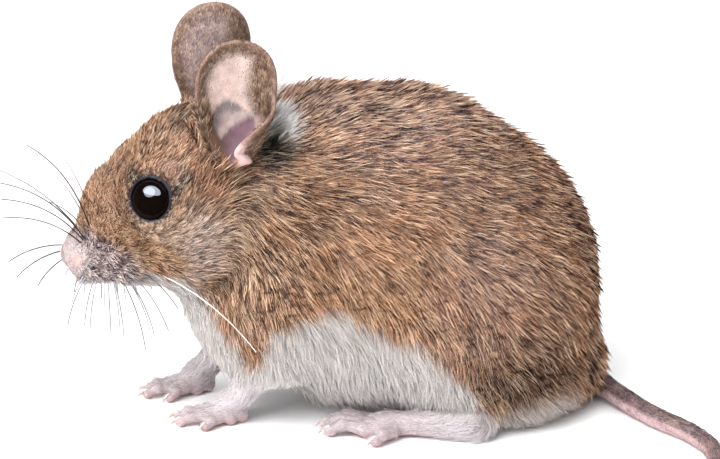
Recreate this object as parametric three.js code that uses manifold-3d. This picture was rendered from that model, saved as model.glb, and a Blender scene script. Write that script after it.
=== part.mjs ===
// Field mouse (wood mouse), crouching with its tail curled forward along its left side.
// Life size, in millimetres, +Z up: the nose points to -X, the animal's left side to -Y, and the soles are at Z = 0.
// The solids have the outline of the coat. The flesh is a smooth union of rounded cones and ellipsoids,
// a capsule is shrink-wrapped onto it, and thin cuts part the wrap into head, neck, trunk and limbs.
// The longest whiskers are solids too, thicker than real ones, so that the model reaches as far as they do.

import * as THREE from "three";
import { mergeVertices } from "three/addons/utils/BufferGeometryUtils.js";
import Module from "manifold-3d";

const wasm = await Module();
wasm.setup();

// ---------------------------------------------------------------- driving sizes

const BODY_HEIGHT = 41.5; // floor to the top of the hunched back
const BODY_WIDTH = 32; // across the haunches
const EAR_HEIGHT = 15.8;
const EAR_WIDTH = 9.4;
const EYE_DIAMETER = 5.4;
const TAIL_ROOT_RADIUS = 1.5;
const TAIL_TIP_RADIUS = 0.5;
const WHISKER_ROOT_RADIUS = 0.3;
const WHISKER_TIP_RADIUS = 0.24;
const CUT = 0.3; // width of the cuts that part the body
const NOSE_X = -36.5;

const LEFT = -1;
const RIGHT = 1;
const SIDES = [
  [LEFT, "left"],
  [RIGHT, "right"],
];

// ---------------------------------------------------------------- finishes

const finish = (color, roughness) => new THREE.MeshStandardMaterial({ color, roughness, metalness: 0 });
const BROWN_COAT = finish(0x9c7b64, 0.85);
const WHITE_COAT = finish(0xcfc4bd, 0.85);
const BARE_SKIN = finish(0xd9c3c1, 0.6);
const EAR_SKIN = finish(0xb39a92, 0.65);
const TAIL_SKIN = finish(0xa68d93, 0.6);
const EYE_GLOSS = finish(0x14100f, 0.08);
const WHISKER = finish(0x4a4341, 0.5);

// ---------------------------------------------------------------- flesh as distances

const vec = (x, y, z) => new THREE.Vector3(x, y, z);

// Smooth union of two distances, with a fillet about k wide.
function fuse(a, b, k) {
  const near = Math.max(k - Math.abs(a - b), 0) / k;
  return Math.min(a, b) - near * near * k * 0.25;
}

// An ellipsoid, tipped by pitch degrees about Y (a positive pitch lowers its -X end).
function lobe(centre, radii, pitch = 0) {
  const turn = THREE.MathUtils.degToRad(pitch);
  const [c, s] = [Math.cos(turn), Math.sin(turn)];
  return (p) => {
    const [dx, dy, dz] = [p.x - centre.x, p.y - centre.y, p.z - centre.z];
    const x = (dx * c + dz * s) / radii.x;
    const y = dy / radii.y;
    const z = (dz * c - dx * s) / radii.z;
    const k0 = Math.hypot(x, y, z);
    const k1 = Math.hypot(x / radii.x, y / radii.y, z / radii.z);
    return k1 > 1e-9 ? (k0 * (k0 - 1)) / k1 : -Math.min(radii.x, radii.y, radii.z);
  };
}

// A cone with round ends: a sphere of radius ra at a, running to one of radius rb at b.
function roundCone(a, b, ra, rb) {
  const axis = b.clone().sub(a);
  const length2 = axis.lengthSq();
  return (p) => {
    const from = p.clone().sub(a);
    const t = THREE.MathUtils.clamp(from.dot(axis) / length2, 0, 1);
    return from.addScaledVector(axis, -t).length() - (ra + (rb - ra) * t);
  };
}

// The same shape on both sides of the body, given for the left one.
const paired = (shape) => (p) => shape(vec(p.x, -Math.abs(p.y), p.z));

// Flesh that fuses all its members with fillets k wide.
const flesh = (k, ...members) => (p) => members.reduce((d, member) => fuse(d, member(p), k), Infinity);

const grown = (field, by) => (p) => field(p) - by;

// ---------------------------------------------------------------- anatomy of the body

const HAUNCH = { centre: vec(13.4, -8.8, 14), radii: vec(13.2, 8, 13.4) };
const SHOULDER = { centre: vec(-9.5, -5.6, 16.5), radii: vec(6.6, 6.2, 10.5) };

const haunch = paired(lobe(HAUNCH.centre, HAUNCH.radii));
const shoulder = paired(lobe(SHOULDER.centre, SHOULDER.radii, -18));

const trunkFlesh = flesh(
  4,
  lobe(vec(3.5, 0, 20.2), vec(20.8, BODY_WIDTH / 2 - 0.6, BODY_HEIGHT / 2 + 0.4)), // barrel and belly
  lobe(vec(15.2, 0, 14.7), vec(15.1, 14, 19.4)), // rump
  lobe(vec(16.5, 0, 5), vec(13.9, 14.6, 8.2)), // seat
  lobe(vec(-6, 0, 23.5), vec(13, 11.6, 17.4), -12), // chest and withers
  lobe(vec(-12.5, 0, 13.5), vec(7, 6.6, 7.2)), // breast
  roundCone(vec(-19, 0, 29), vec(-7, 0, 28), 8.2, 12.2), // neck
  roundCone(vec(-23, 0, 21.8), vec(-14.4, 0, 13.8), 2.9, 5.4), // throat
  haunch,
  shoulder,
);

const headFlesh = flesh(
  2.5,
  lobe(vec(-20.2, 0, 30.2), vec(9.3, 8.4, 9.1)), // cranium
  lobe(vec(-26.9, 0, 26.4), vec(7.2, 6.2, 7.5)), // face
  roundCone(vec(-28, 0, 23.8), vec(-33.4, 0, 22), 4.9, 2.8), // snout
  lobe(vec(-27, 0, 20.8), vec(6.4, 4.2, 3.2)), // lower jaw
  paired(lobe(vec(-21.6, -3.8, 24.6), vec(6, 5, 6))), // cheeks
  paired(lobe(vec(-25.4, -3.7, 29.8), vec(4.4, 3.2, 3.8))), // brows and eye sockets
  paired(roundCone(vec(-18, -5.4, 35.2), vec(-20.4, -5.6, 38), 2.5, 1.2)), // fur before the ears
);

const bodyFlesh = (p) => fuse(trunkFlesh(p), headFlesh(p), 4);

// The line inside the body that every ray of the wrap starts from, from the snout to the rump.
const SPINE = new THREE.CatmullRomCurve3([
  vec(-32.6, 0, 22),
  vec(-25, 0, 25.6),
  vec(-15, 0, 26.4),
  vec(-3, 0, 23),
  vec(8, 0, 18),
  vec(17.5, 0, 12),
]);

// ---------------------------------------------------------------- wrapping and parting

const CLOSE_ENOUGH = 1e-5;

// Distance from origin along direction to where the field turns positive.
function reach(field, origin, direction, step) {
  const at = (r) => field(origin.clone().addScaledVector(direction, r));
  let outer = step;
  while (at(outer) < 0) outer += step;
  let inner = outer - step;
  while (outer - inner > CLOSE_ENOUGH) {
    const middle = (inner + outer) / 2;
    if (at(middle) < 0) inner = middle;
    else outer = middle;
  }
  return outer;
}

// A unit shape with its seams and poles closed, so that it stays closed however its vertices move.
function welded(geometry) {
  geometry.deleteAttribute("normal");
  geometry.deleteAttribute("uv");
  return mergeVertices(geometry, 1e-4);
}

const unitBall = (across, down) => welded(new THREE.SphereGeometry(1, across, down));

// Shrink-wraps a capsule onto a field: each vertex runs out from its own point on the curve, across the
// curve along its length and all round at the two ends. Its z axis stays as upright as the curve lets it.
function wrap(field, curve, { sides = 12, rings = 8, capRings = 4, step = 0.8, upright = vec(0, 0, 1) }) {
  const capsule = welded(new THREE.CapsuleGeometry(1, 1, capRings, sides, rings));
  const position = capsule.attributes.position;
  const direction = vec();
  for (let i = 0; i < position.count; i++) {
    const height = THREE.MathUtils.clamp(position.getY(i), -0.5, 0.5);
    const u = height + 0.5;
    const forward = curve.getTangentAt(u);
    const across = forward.clone().cross(upright).normalize();
    const up = across.clone().cross(forward);
    direction.set(0, 0, 0);
    direction.addScaledVector(across, position.getX(i));
    direction.addScaledVector(forward, position.getY(i) - height);
    direction.addScaledVector(up, position.getZ(i)).normalize();
    const origin = curve.getPointAt(u);
    const surface = origin.addScaledVector(direction, reach(field, origin, direction, step));
    position.setXYZ(i, surface.x, surface.y, surface.z);
  }
  return capsule;
}

// A round bar along a curve, cut square at both ends.
function sweep(curve, radiusAt, sides, steps) {
  const tube = welded(new THREE.CylinderGeometry(1, 1, 1, sides, steps));
  const position = tube.attributes.position;
  for (let i = 0; i < position.count; i++) {
    const t = position.getY(i) + 0.5;
    const forward = curve.getTangentAt(t);
    const across = forward.clone().cross(vec(0, 0, 1)).normalize();
    const up = across.clone().cross(forward);
    const at = curve.getPointAt(t);
    at.addScaledVector(across, position.getX(i) * radiusAt(t));
    at.addScaledVector(up, position.getZ(i) * radiusAt(t));
    position.setXYZ(i, at.x, at.y, at.z);
  }
  return tube;
}

// A welded three.js geometry as a manifold-3d solid, and back.
function solid(geometry) {
  const vertProperties = new Float32Array(geometry.attributes.position.array);
  const triVerts = new Uint32Array(geometry.index.array);
  return new wasm.Manifold(new wasm.Mesh({ numProp: 3, vertProperties, triVerts }));
}

function geometryOf(shape) {
  const { vertProperties, triVerts } = shape.getMesh();
  const geometry = new THREE.BufferGeometry();
  geometry.setAttribute("position", new THREE.BufferAttribute(vertProperties, 3));
  geometry.setIndex(new THREE.BufferAttribute(triVerts, 1));
  return geometry;
}

// The part of a solid ahead of a plane, and the part behind it, with a cut between them.
function parted(shape, point, normal) {
  const n = normal.clone().normalize();
  const offset = n.dot(point);
  return {
    ahead: shape.trimByPlane([n.x, n.y, n.z], offset + CUT / 2),
    behind: shape.trimByPlane([-n.x, -n.y, -n.z], -offset + CUT / 2),
  };
}

const SIMPLER = 0.08; // how far a face may move to save triangles
const simpler = (shape) => shape.simplify(SIMPLER);
const onFloor = (shape) => shape.trimByPlane([0, 0, 1], 0);

// The largest body of a solid, because a cut can leave crumbs, without the triangles it can do without.
const largest = (shape) => simpler(shape.decompose().reduce((a, b) => (a.volume() > b.volume() ? a : b)));

const mouse = new THREE.Group();

function add(name, geometry, material) {
  const mesh = new THREE.Mesh(geometry, material);
  mesh.name = name;
  mouse.add(mesh);
  return mesh;
}

// ---------------------------------------------------------------- eyes

const EYE = { x: -25.6, y: 6, z: 30.1, radius: EYE_DIAMETER / 2 };

const eyeSocket = (side) => {
  const radius = EYE.radius + CUT;
  return solid(unitBall(14, 9).scale(radius, radius, radius).translate(EYE.x, side * EYE.y, EYE.z));
};

function addEye(side, word) {
  const ball = unitBall(16, 9).scale(EYE.radius, EYE.radius, EYE.radius);
  add(`eye_${word}`, ball, EYE_GLOSS).position.set(EYE.x, side * EYE.y, EYE.z);
}

// ---------------------------------------------------------------- ears

const EAR = {
  centre: { left: vec(-16.1, 8, 41.9), right: vec(-16.8, 8, 41.9) },
  thickness: 0.7,
  cup: 2.4, // how deep the cup is at its middle
  funnel: 0.33, // how much wider than its middle the top is, and how much narrower the foot
  roll: 1.35, // radius of the rear margin, which rolls outwards and forwards in the lower half
  roll_from: [-0.6, 0], // depths below the middle, in half heights, at which the roll is nothing and whole
  roll_room: [0.6, 2.4], // half widths of the ear at which the roll is nothing and whole
  flap: 1.3, // how far the margin lies forward past its roll
  flap_from: [-0.1, 0.5], // the same for the flap
  lean: 3, // degrees that the tip leans back
  splay: -0.1, // how far the tip stands outside the foot, as a share of the height
};

// A pancake with an egg outline, pressed into a cup that opens sideways.
function earGeometry(side, word) {
  const pancake = unitBall(26, 12);
  const position = pancake.attributes.position;
  const lean = Math.tan(THREE.MathUtils.degToRad(EAR.lean));
  const { smoothstep, clamp } = THREE.MathUtils;
  for (let i = 0; i < position.count; i++) {
    const [x, face, z] = [position.getX(i), position.getY(i), position.getZ(i)];
    const chord = Math.max(Math.sqrt(1 - z * z), 0.05);
    const height = z * (EAR_HEIGHT / 2);
    const width = (EAR_WIDTH / 2) * chord * (1 + EAR.funnel * z);
    const rolled = smoothstep(-z, ...EAR.roll_from) * smoothstep(width, ...EAR.roll_room);
    const angle = Math.PI * Math.max(rolled, 1e-4);
    const flap = EAR.flap * smoothstep(-z, ...EAR.flap_from) * Math.min(chord * 1.5, 1);
    const roll = Math.min(EAR.roll, width * 0.42);
    const flat = width - roll * Math.sin(Math.min(angle, Math.PI / 2));
    const reached = (x / chord) * (x > 0 ? flat + roll * angle + flap : width);
    const turned = clamp((reached - flat) / roll, 0, angle);
    const spare = Math.max(0, reached - flat - roll * angle);
    const along = Math.min(reached, flat) + roll * Math.sin(turned) + Math.cos(angle) * spare;
    const shell = Math.sign(face) * Math.sqrt(Math.abs(face)) * (EAR.thickness / 2);
    const cup = EAR.cup * (1 - x * x - z * z);
    const curl = roll * (1 - Math.cos(turned)) + Math.sin(angle) * spare + shell * Math.cos(turned);
    const { x: cx, y: cy, z: cz } = EAR.centre[word];
    const across = cx + along + lean * height - shell * Math.sin(turned);
    position.setXYZ(i, across, side * (cy + EAR.splay * height - cup + curl), cz + height);
  }
  if (side === LEFT) turnFaces(pancake);
  return pancake;
}

// Turns every triangle of a mirrored geometry to face out again.
function turnFaces(geometry) {
  const order = geometry.index.array;
  for (let i = 0; i < order.length; i += 3) {
    [order[i + 1], order[i + 2]] = [order[i + 2], order[i + 1]];
  }
}

// ---------------------------------------------------------------- legs and feet

// Feet are given from the rearmost point of the sole as (forward, outward, up); digits run root, knuckle, tip.
const FOREFOOT = {
  stance: {
    left: { at: vec(-14.4, -4.4, 0), turn: 5 },
    right: { at: vec(-17.3, 5.7, 0), turn: 0 },
  },
  elbow: { left: vec(-12, -5.6, 9), right: vec(-13.4, 6.4, 9.2) },
  elbow_radius: 3,
  wrist: vec(2, 0, 2.9),
  wrist_radius: 1.55,
  palm: { centre: vec(4.4, 0, 1.15), radii: vec(2.5, 1.9, 1.05) },
  wrist_pad: { centre: vec(1.1, 0, 1.1), radii: vec(1.1, 1, 1.2) },
  digit_radius: 0.64,
  claw_length: 0.8,
  digits: [
    [vec(4.3, -1.3, 1.1), vec(5.3, -2, 1.15), vec(6, -2.5, 0.7)],
    [vec(5.9, -0.7, 1.1), vec(7.4, -0.85, 1.3), vec(8.6, -0.9, 0.7)],
    [vec(5.9, 0.7, 1.1), vec(7.3, 0.8, 1.3), vec(8.4, 0.85, 0.7)],
    [vec(4.1, 1.3, 1), vec(4.9, 2, 1.1), vec(5.5, 2.5, 0.7)],
  ],
};

const HINDFOOT = {
  stance: {
    left: { at: vec(13.6, -14.5, 0), turn: 15 },
    right: { at: vec(13.6, 14.5, 0), turn: 15 },
  },
  heel: { centre: vec(2, 0, 1.85), radius: 1.95 },
  instep: { centre: vec(12.5, 0, 1.5), radius: 1.4 },
  sole: { centre: vec(14.2, 0, 1.2), radii: vec(3.2, 2.4, 1.15) },
  digit_radius: 0.72,
  claw_length: 0.9,
  digits: [
    [vec(11.4, -1.8, 1.3), vec(12.6, -2.8, 1.35), vec(13.4, -3.4, 0.78)],
    [vec(15.6, -1.6, 1.3), vec(17.5, -2.1, 1.5), vec(19.1, -2.4, 0.78)],
    [vec(16.2, -0.5, 1.3), vec(18.3, -0.65, 1.6), vec(20, -0.8, 0.78)],
    [vec(15.9, 0.8, 1.3), vec(17.8, 1, 1.5), vec(19.4, 1.1, 0.78)],
    [vec(11.8, 1.9, 1.3), vec(12.9, 3, 1.35), vec(13.7, 3.7, 0.78)],
  ],
};

// Carries a foot's own (forward, outward, up) onto the floor beside the body.
function placing(stance, side) {
  const turn = THREE.MathUtils.degToRad(stance.turn);
  const forward = vec(-Math.cos(turn), -side * Math.sin(turn), 0);
  const outward = vec(-Math.sin(turn), side * Math.cos(turn), 0);
  return (p) =>
    stance.at.clone().addScaledVector(forward, p.x).addScaledVector(outward, p.y).add(vec(0, 0, p.z));
}

// The same field, moved with a foot.
function placedField(field, stance, side) {
  const place = placing(stance, side);
  const origin = place(vec(0, 0, 0));
  const [forward, outward] = [place(vec(1, 0, 0)).sub(origin), place(vec(0, 1, 0)).sub(origin)];
  return (p) => {
    const from = p.clone().sub(origin);
    return field(vec(from.dot(forward), from.dot(outward), from.z));
  };
}

// A digit with its claw as one solid: a bent sausage that ends in a hook.
function digitSolid([root, knuckle, tip], radius, clawLength) {
  const heading = tip.clone().sub(knuckle).setZ(0).normalize();
  const base = tip.clone().addScaledVector(heading, radius * 0.6).setZ(tip.z + 0.3);
  const point = base.clone().addScaledVector(heading, clawLength).setZ(0.3);
  const digit = flesh(
    0.4,
    roundCone(root, knuckle, radius * 1.1, radius),
    roundCone(knuckle, tip, radius, radius * 0.95),
    roundCone(base, point, 0.34, 0.25),
  );
  const line = new THREE.CatmullRomCurve3([root, knuckle, tip, point]);
  return solid(wrap(digit, line, { sides: 6, rings: 6, capRings: 2, step: 0.15 }));
}

// A sole or palm with its digits, standing in its place.
function footSolid(foot, footFlesh, line, wrapping, side, word) {
  const stance = foot.stance[word];
  const place = placing(stance, side);
  const base = solid(wrap(placedField(footFlesh, stance, side), line(place), wrapping));
  const digits = foot.digits.map((joints) => digitSolid(joints.map(place), foot.digit_radius, foot.claw_length));
  return simpler(onFloor(digits.reduce((all, digit) => all.add(digit), base)));
}

function forefootSolid(side, word) {
  const { palm, wrist_pad: pad, wrist, wrist_radius: r } = FOREFOOT;
  const palmFlesh = flesh(
    1,
    lobe(palm.centre, palm.radii),
    lobe(pad.centre, pad.radii),
    roundCone(wrist, palm.centre, r, 1),
  );
  const line = (place) => new THREE.LineCurve3(place(palm.centre), place(vec(2, 0, 1.9)));
  const wrapping = { sides: 10, rings: 3, capRings: 3, step: 0.3 };
  return footSolid(FOREFOOT, palmFlesh, line, wrapping, side, word);
}

function hindfootSolid(side, word) {
  const { heel, instep, sole } = HINDFOOT;
  const soleFlesh = flesh(
    1.6,
    roundCone(heel.centre, instep.centre, heel.radius, instep.radius),
    lobe(sole.centre, sole.radii),
  );
  const line = (place) => new THREE.LineCurve3(place(heel.centre), place(sole.centre));
  const wrapping = { sides: 10, rings: 7, capRings: 3, step: 0.3 };
  return footSolid(HINDFOOT, soleFlesh, line, wrapping, side, word);
}

const wristOf = (side, word) => placing(FOREFOOT.stance[word], side)(FOREFOOT.wrist);

function forelegSolid(side, word) {
  const [elbow, wrist] = [FOREFOOT.elbow[word], wristOf(side, word)];
  const arm = roundCone(elbow, wrist, FOREFOOT.elbow_radius, FOREFOOT.wrist_radius);
  return solid(wrap(arm, new THREE.LineCurve3(elbow, wrist), { sides: 12, rings: 3, capRings: 3, step: 0.4 }));
}

// ---------------------------------------------------------------- tail

// The tail leaves the rump on the floor, swings to the left and curls forward beside the body.
const TAIL_LINE = new THREE.CatmullRomCurve3([
  vec(24, 0.4, 3.2),
  vec(28.6, -1.6, 1.9),
  vec(30.9, -7.4, 1.5),
  vec(33.4, -13.8, 1.35),
  vec(36.9, -19.8, 1.2),
  vec(38.1, -25.5, 1.12),
  vec(36, -32.4, 1.03),
  vec(30.2, -37.4, 0.92),
  vec(22, -39.6, 0.82),
  vec(12, -39, 0.73),
  vec(2.5, -36.2, 0.65),
  vec(-7.5, -33.4, 0.55),
]);
const TAIL_PIECES = ["tail_root", "tail_bend", "tail_middle", "tail_end"];

const tailRadius = (u) => TAIL_TIP_RADIUS + (TAIL_ROOT_RADIUS - TAIL_TIP_RADIUS) * (1 - u) ** 1.2;

// A length of the tail from u = from to u = to, cut square at both ends.
class TailStretch extends THREE.Curve {
  constructor(from, to) {
    super();
    this.from = from;
    this.to = to;
  }
  getPoint(t, target = vec()) {
    return target.copy(TAIL_LINE.getPointAt(this.from + (this.to - this.from) * t));
  }
}

function tailGeometry(index) {
  const share = 1 / TAIL_PIECES.length;
  const gap = CUT / 2 / TAIL_LINE.getLength();
  const from = index * share + (index > 0 ? gap : 0);
  const to = (index + 1) * share - (index < TAIL_PIECES.length - 1 ? gap : 0);
  return sweep(new TailStretch(from, to), (t) => tailRadius(from + (to - from) * t), 8, 8);
}

// ---------------------------------------------------------------- whiskers

// Each whisker leaves the pad of the muzzle at an angle in the side view, 90 being up and 180 straight ahead,
// and has a length. The two fans aren't alike, because a mouse moves them apart.
const WHISKERS = {
  pad: { centre: vec(-31.2, 2.9, 22.5), radii: vec(3.2, 0.8, 2) },
  outward: 0.45, // how far one runs outwards for each millimetre that it runs in the side view
  sag: 0.09, // how far its middle bows up from the straight line, as a share of the length
  left: [[118, 18.2], [136, 16.6], [149, 12.2], [240, 7.7], [288, 10.4], [326, 18.6]],
  right: [[112, 9], [200, 9.6], [212, 9.8], [225, 8.6], [285, 9], [326, 16]],
};

function whiskerSolid(side, angle, length) {
  const { pad, outward, sag } = WHISKERS;
  const turn = THREE.MathUtils.degToRad(angle);
  const [ahead, rise] = [Math.cos(turn), Math.sin(turn)];
  const y = side * (pad.centre.y + pad.radii.y * ahead);
  const root = vec(pad.centre.x + pad.radii.x * ahead, y, pad.centre.z + pad.radii.z * rise);
  const heading = vec(ahead, side * outward, rise).normalize();
  const tip = root.clone().addScaledVector(heading, length);
  const bow = vec(0, 0, 1).addScaledVector(heading, -heading.z).normalize();
  const middle = root.clone().lerp(tip, 0.5).addScaledVector(bow, 2 * sag * length);
  const line = new THREE.QuadraticBezierCurve3(root, middle, tip);
  const radiusAt = (t) => WHISKER_ROOT_RADIUS + (WHISKER_TIP_RADIUS - WHISKER_ROOT_RADIUS) * t;
  return solid(sweep(line, radiusAt, 5, 4));
}

// ---------------------------------------------------------------- assembly

const BODY_WRAP = { sides: 24, rings: 20, capRings: 5 };
const wholeBody = onFloor(solid(wrap(bodyFlesh, SPINE, BODY_WRAP)));
const bodyRoom = solid(wrap(grown(bodyFlesh, CUT + 0.1), SPINE, BODY_WRAP));

// The room a haunch takes out of the trunk, from its outer side inwards.
function haunchRoom(side, by) {
  const room = unitBall(20, 12);
  room.scale(HAUNCH.radii.x + 1.2 + by, 9 + by, HAUNCH.radii.z + 1.2 + by);
  return solid(room.translate(HAUNCH.centre.x, side * 12.4, HAUNCH.centre.z));
}

const HEAD_CUT = { point: vec(-13.5, 0, 29), normal: vec(-0.9, 0, 0.436) };
const NECK_CUT = { point: vec(-7.5, 0, 29), normal: vec(-0.958, 0, 0.287) };
const NOSE = { centre: vec(NOSE_X, 0, 21.9), radius: 1.5 };

const noseRoom = (by) => {
  const radius = NOSE.radius + by;
  return solid(unitBall(12, 8).scale(radius, radius, radius).translate(NOSE.centre.x, 0, NOSE.centre.z));
};

const behindHead = parted(wholeBody, HEAD_CUT.point, HEAD_CUT.normal);
const behindNeck = parted(behindHead.behind, NECK_CUT.point, NECK_CUT.normal);

let head = behindHead.ahead;
let trunk = behindNeck.behind;
for (const [side, word] of SIDES) {
  add(`haunch_${word}`, geometryOf(largest(trunk.intersect(haunchRoom(side, 0)))), BROWN_COAT);
  trunk = trunk.subtract(haunchRoom(side, CUT));
  head = head.subtract(eyeSocket(side));
  addEye(side, word);
}
add("nose", geometryOf(largest(head.intersect(noseRoom(0)))), BARE_SKIN);
add("head", geometryOf(largest(head.subtract(noseRoom(CUT)))), BROWN_COAT);
add("neck", geometryOf(largest(behindNeck.ahead)), BROWN_COAT);
add("trunk", geometryOf(largest(trunk)), BROWN_COAT);

for (const [side, word] of SIDES) {
  add(`ear_${word}`, geometryOf(largest(solid(earGeometry(side, word)).subtract(bodyRoom))), EAR_SKIN);
  const wrist = wristOf(side, word);
  const armLine = FOREFOOT.elbow[word].clone().sub(wrist);
  const arm = parted(forelegSolid(side, word), wrist, armLine).ahead.subtract(bodyRoom);
  add(`foreleg_${word}`, geometryOf(largest(arm)), WHITE_COAT);
  const forefoot = parted(forefootSolid(side, word), wrist, armLine).behind.subtract(bodyRoom);
  add(`forefoot_${word}`, geometryOf(largest(forefoot)), BARE_SKIN);
  add(`hindfoot_${word}`, geometryOf(largest(hindfootSolid(side, word).subtract(bodyRoom))), BARE_SKIN);
  WHISKERS[word].forEach(([angle, length], index) => {
    const whisker = largest(whiskerSolid(side, angle, length).subtract(bodyRoom));
    add(`whisker_${word}_${index + 1}`, geometryOf(whisker), WHISKER);
  });
}
TAIL_PIECES.forEach((name, index) => {
  const piece = onFloor(solid(tailGeometry(index)));
  add(name, geometryOf(largest(index === 0 ? piece.subtract(bodyRoom) : piece)), TAIL_SKIN);
});

// The origin is on the floor at the middle of the whole animal's box.
const box = new THREE.Box3().setFromObject(mouse);
const middle = box.getCenter(vec());
mouse.position.set(-middle.x, -middle.y, -box.min.z);

export default mouse;
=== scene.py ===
"""Field mouse figure: one skin, its coat in tufts, eyes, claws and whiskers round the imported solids."""

import logging
import math
from dataclasses import dataclass, field, replace
from enum import Enum
from functools import cached_property, partial
from typing import Any, Sequence

import bpy
import numpy as np
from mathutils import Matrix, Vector
from mathutils.bvhtree import BVHTree


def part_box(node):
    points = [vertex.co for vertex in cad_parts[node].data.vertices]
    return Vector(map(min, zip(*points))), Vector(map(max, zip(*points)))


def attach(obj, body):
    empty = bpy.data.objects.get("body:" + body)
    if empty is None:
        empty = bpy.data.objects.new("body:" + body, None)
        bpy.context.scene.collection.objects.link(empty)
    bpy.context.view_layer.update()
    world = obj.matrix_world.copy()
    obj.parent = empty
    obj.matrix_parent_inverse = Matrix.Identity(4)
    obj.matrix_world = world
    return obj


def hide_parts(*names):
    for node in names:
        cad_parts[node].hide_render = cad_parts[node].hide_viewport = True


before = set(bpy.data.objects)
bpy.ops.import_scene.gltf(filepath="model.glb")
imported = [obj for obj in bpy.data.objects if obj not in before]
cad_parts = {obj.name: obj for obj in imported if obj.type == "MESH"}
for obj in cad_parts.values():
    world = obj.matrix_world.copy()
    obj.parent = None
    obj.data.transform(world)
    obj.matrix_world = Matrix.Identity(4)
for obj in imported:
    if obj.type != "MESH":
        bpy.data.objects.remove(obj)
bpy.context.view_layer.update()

LOG = logging.getLogger("field_mouse")
Array, F32 = np.ndarray, np.float32
Vec3 = tuple[float, float, float]
Object, Material, Tree, Socket = bpy.types.Object, bpy.types.Material, bpy.types.NodeTree, bpy.types.NodeSocket
MM = 0.001
IMAGE_SIZE = (720, 459)
EYE_PLACE = (-25.6, -6.0, 30.1)  # the left eye's centre in the body's own frame, in mm


class Slot(Enum):
    """The material slots."""

    BROWN = "brown_coat"
    WHITE = "white_coat"
    BARE = "bare_skin"
    EAR = "ear_skin"
    TAIL = "tail_skin"
    EYE = "eye"
    WHISKER = "whisker"


class Side(Enum):
    """The side of the body, as the sign of y."""

    LEFT = -1
    RIGHT = 1


class Part(Enum):
    """The parts of the skin that differ in hair and colour."""

    TORSO = 0
    HEAD = 1
    FORELEG = 2
    HINDLEG = 3
    TAIL = 4
    EAR = 5


# ---- small helpers


def linear(hex_colour: str) -> tuple[float, float, float, float]:
    """Turns an sRGB hex colour into linear RGBA.

    Args:
        hex_colour: six hex digits after a hash sign.

    Returns:
        Red, green, blue and an alpha of 1.
    """
    parts = [int(hex_colour[i : i + 2], 16) / 255 for i in (1, 3, 5)]
    return (*[c / 12.92 if c <= 0.04045 else ((c + 0.055) / 1.055) ** 2.4 for c in parts], 1.0)


def blend(target: Array, colour: str, weight: Array) -> None:
    """Mixes a colour into the rows of linear RGB in target."""
    target += (np.array(linear(colour)[:3]) - target) * np.clip(weight, 0, 1)[:, None]


def ramp(x: Array, low: Array | float, high: Array | float) -> Array:
    """A smooth step of x from 0 at low to 1 at high."""
    t = np.clip((x - low) / (high - low), 0.0, 1.0)
    return t * t * (3 - 2 * t)


def unit(v: Array) -> Array:
    """The rows of v at length 1."""
    return v / np.maximum(np.linalg.norm(v, axis=-1, keepdims=True), 1e-9)


def norms(v: Array) -> Array:
    """The lengths of the rows of v."""
    return np.linalg.norm(v, axis=1)


def mirrored(p: Array) -> Array:
    """Points folded onto the left side, for shapes that come in pairs."""
    q = p.copy()
    q[:, 1] = -np.abs(q[:, 1])
    return q


def row_shift() -> Array:
    """The body frame's origin in the row frame, in mm, from the left eye's box."""
    low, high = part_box("eye_left")
    centre = (np.array(low) + np.array(high)) / 2 / MM
    return centre - np.array(EYE_PLACE)


SHIFT = row_shift()


def to_row(p: Array) -> Array:
    """Body-frame points in mm as row-frame points in metres."""
    return (np.asarray(p, float) + SHIFT) * MM


def add_node(
    tree: Tree, kind: str, inputs: dict[Any, Any] | None = None, **settings: Any,
) -> bpy.types.Node:
    """Adds a node with its settings, values and links.

    Args:
        tree: the node tree that gets the node.
        kind: the node's type name.
        inputs: for each input, by name or number, a value or the socket that feeds it.
        settings: the node's own properties.

    Returns:
        The new node.
    """
    made = tree.nodes.new(kind)
    for name, value in settings.items():
        setattr(made, name, value)
    for key, value in (inputs or {}).items():
        if isinstance(value, Socket):
            tree.links.new(value, made.inputs[key])
        else:
            made.inputs[key].default_value = value
    return made


def result(tree: Tree, kind: str, inputs: dict[Any, Any] | None = None, **settings: Any) -> Socket:
    """Adds a node as add_node does, and returns its first output."""
    return add_node(tree, kind, inputs, **settings).outputs[0]


def number(tree: Tree, operation: str, *values: Any) -> Socket:
    """Adds a node that works out a number from values or sockets."""
    return result(tree, "ShaderNodeMath", dict(enumerate(values)), operation=operation)


def link_object(name: str, data: bpy.types.ID) -> Object:
    """Adds an object with the given data to the scene."""
    made = bpy.data.objects.new(name, data)
    bpy.context.scene.collection.objects.link(made)
    return made


def mesh_object(name: str, points: Array, faces: Array | Sequence, edges: Sequence = ()) -> Object:
    """Makes a smooth-shaded mesh object at the origin.

    Args:
        name: the object's name.
        points: vertices in the row frame, in metres.
        faces: vertex numbers of each face.
        edges: vertex numbers of each loose edge.

    Returns:
        The linked object.
    """
    mesh = bpy.data.meshes.new(name)
    plain = faces.tolist() if isinstance(faces, Array) else faces
    mesh.from_pydata(np.asarray(points, float).tolist(), list(edges), plain)
    mesh.shade_smooth()
    return link_object(name, mesh)


def frozen_mesh(source: Object, name: str) -> Object:
    """Turns an object with modifiers into a plain mesh object and removes the source.

    Args:
        source: the object whose evaluated mesh is kept.
        name: the new object's name.

    Returns:
        The plain mesh object.
    """
    graph = bpy.context.evaluated_depsgraph_get()
    mesh = bpy.data.meshes.new_from_object(source.evaluated_get(graph), preserve_all_data_layers=True, depsgraph=graph)
    mesh.name = name
    bpy.data.objects.remove(source)
    return link_object(name, mesh)


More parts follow.
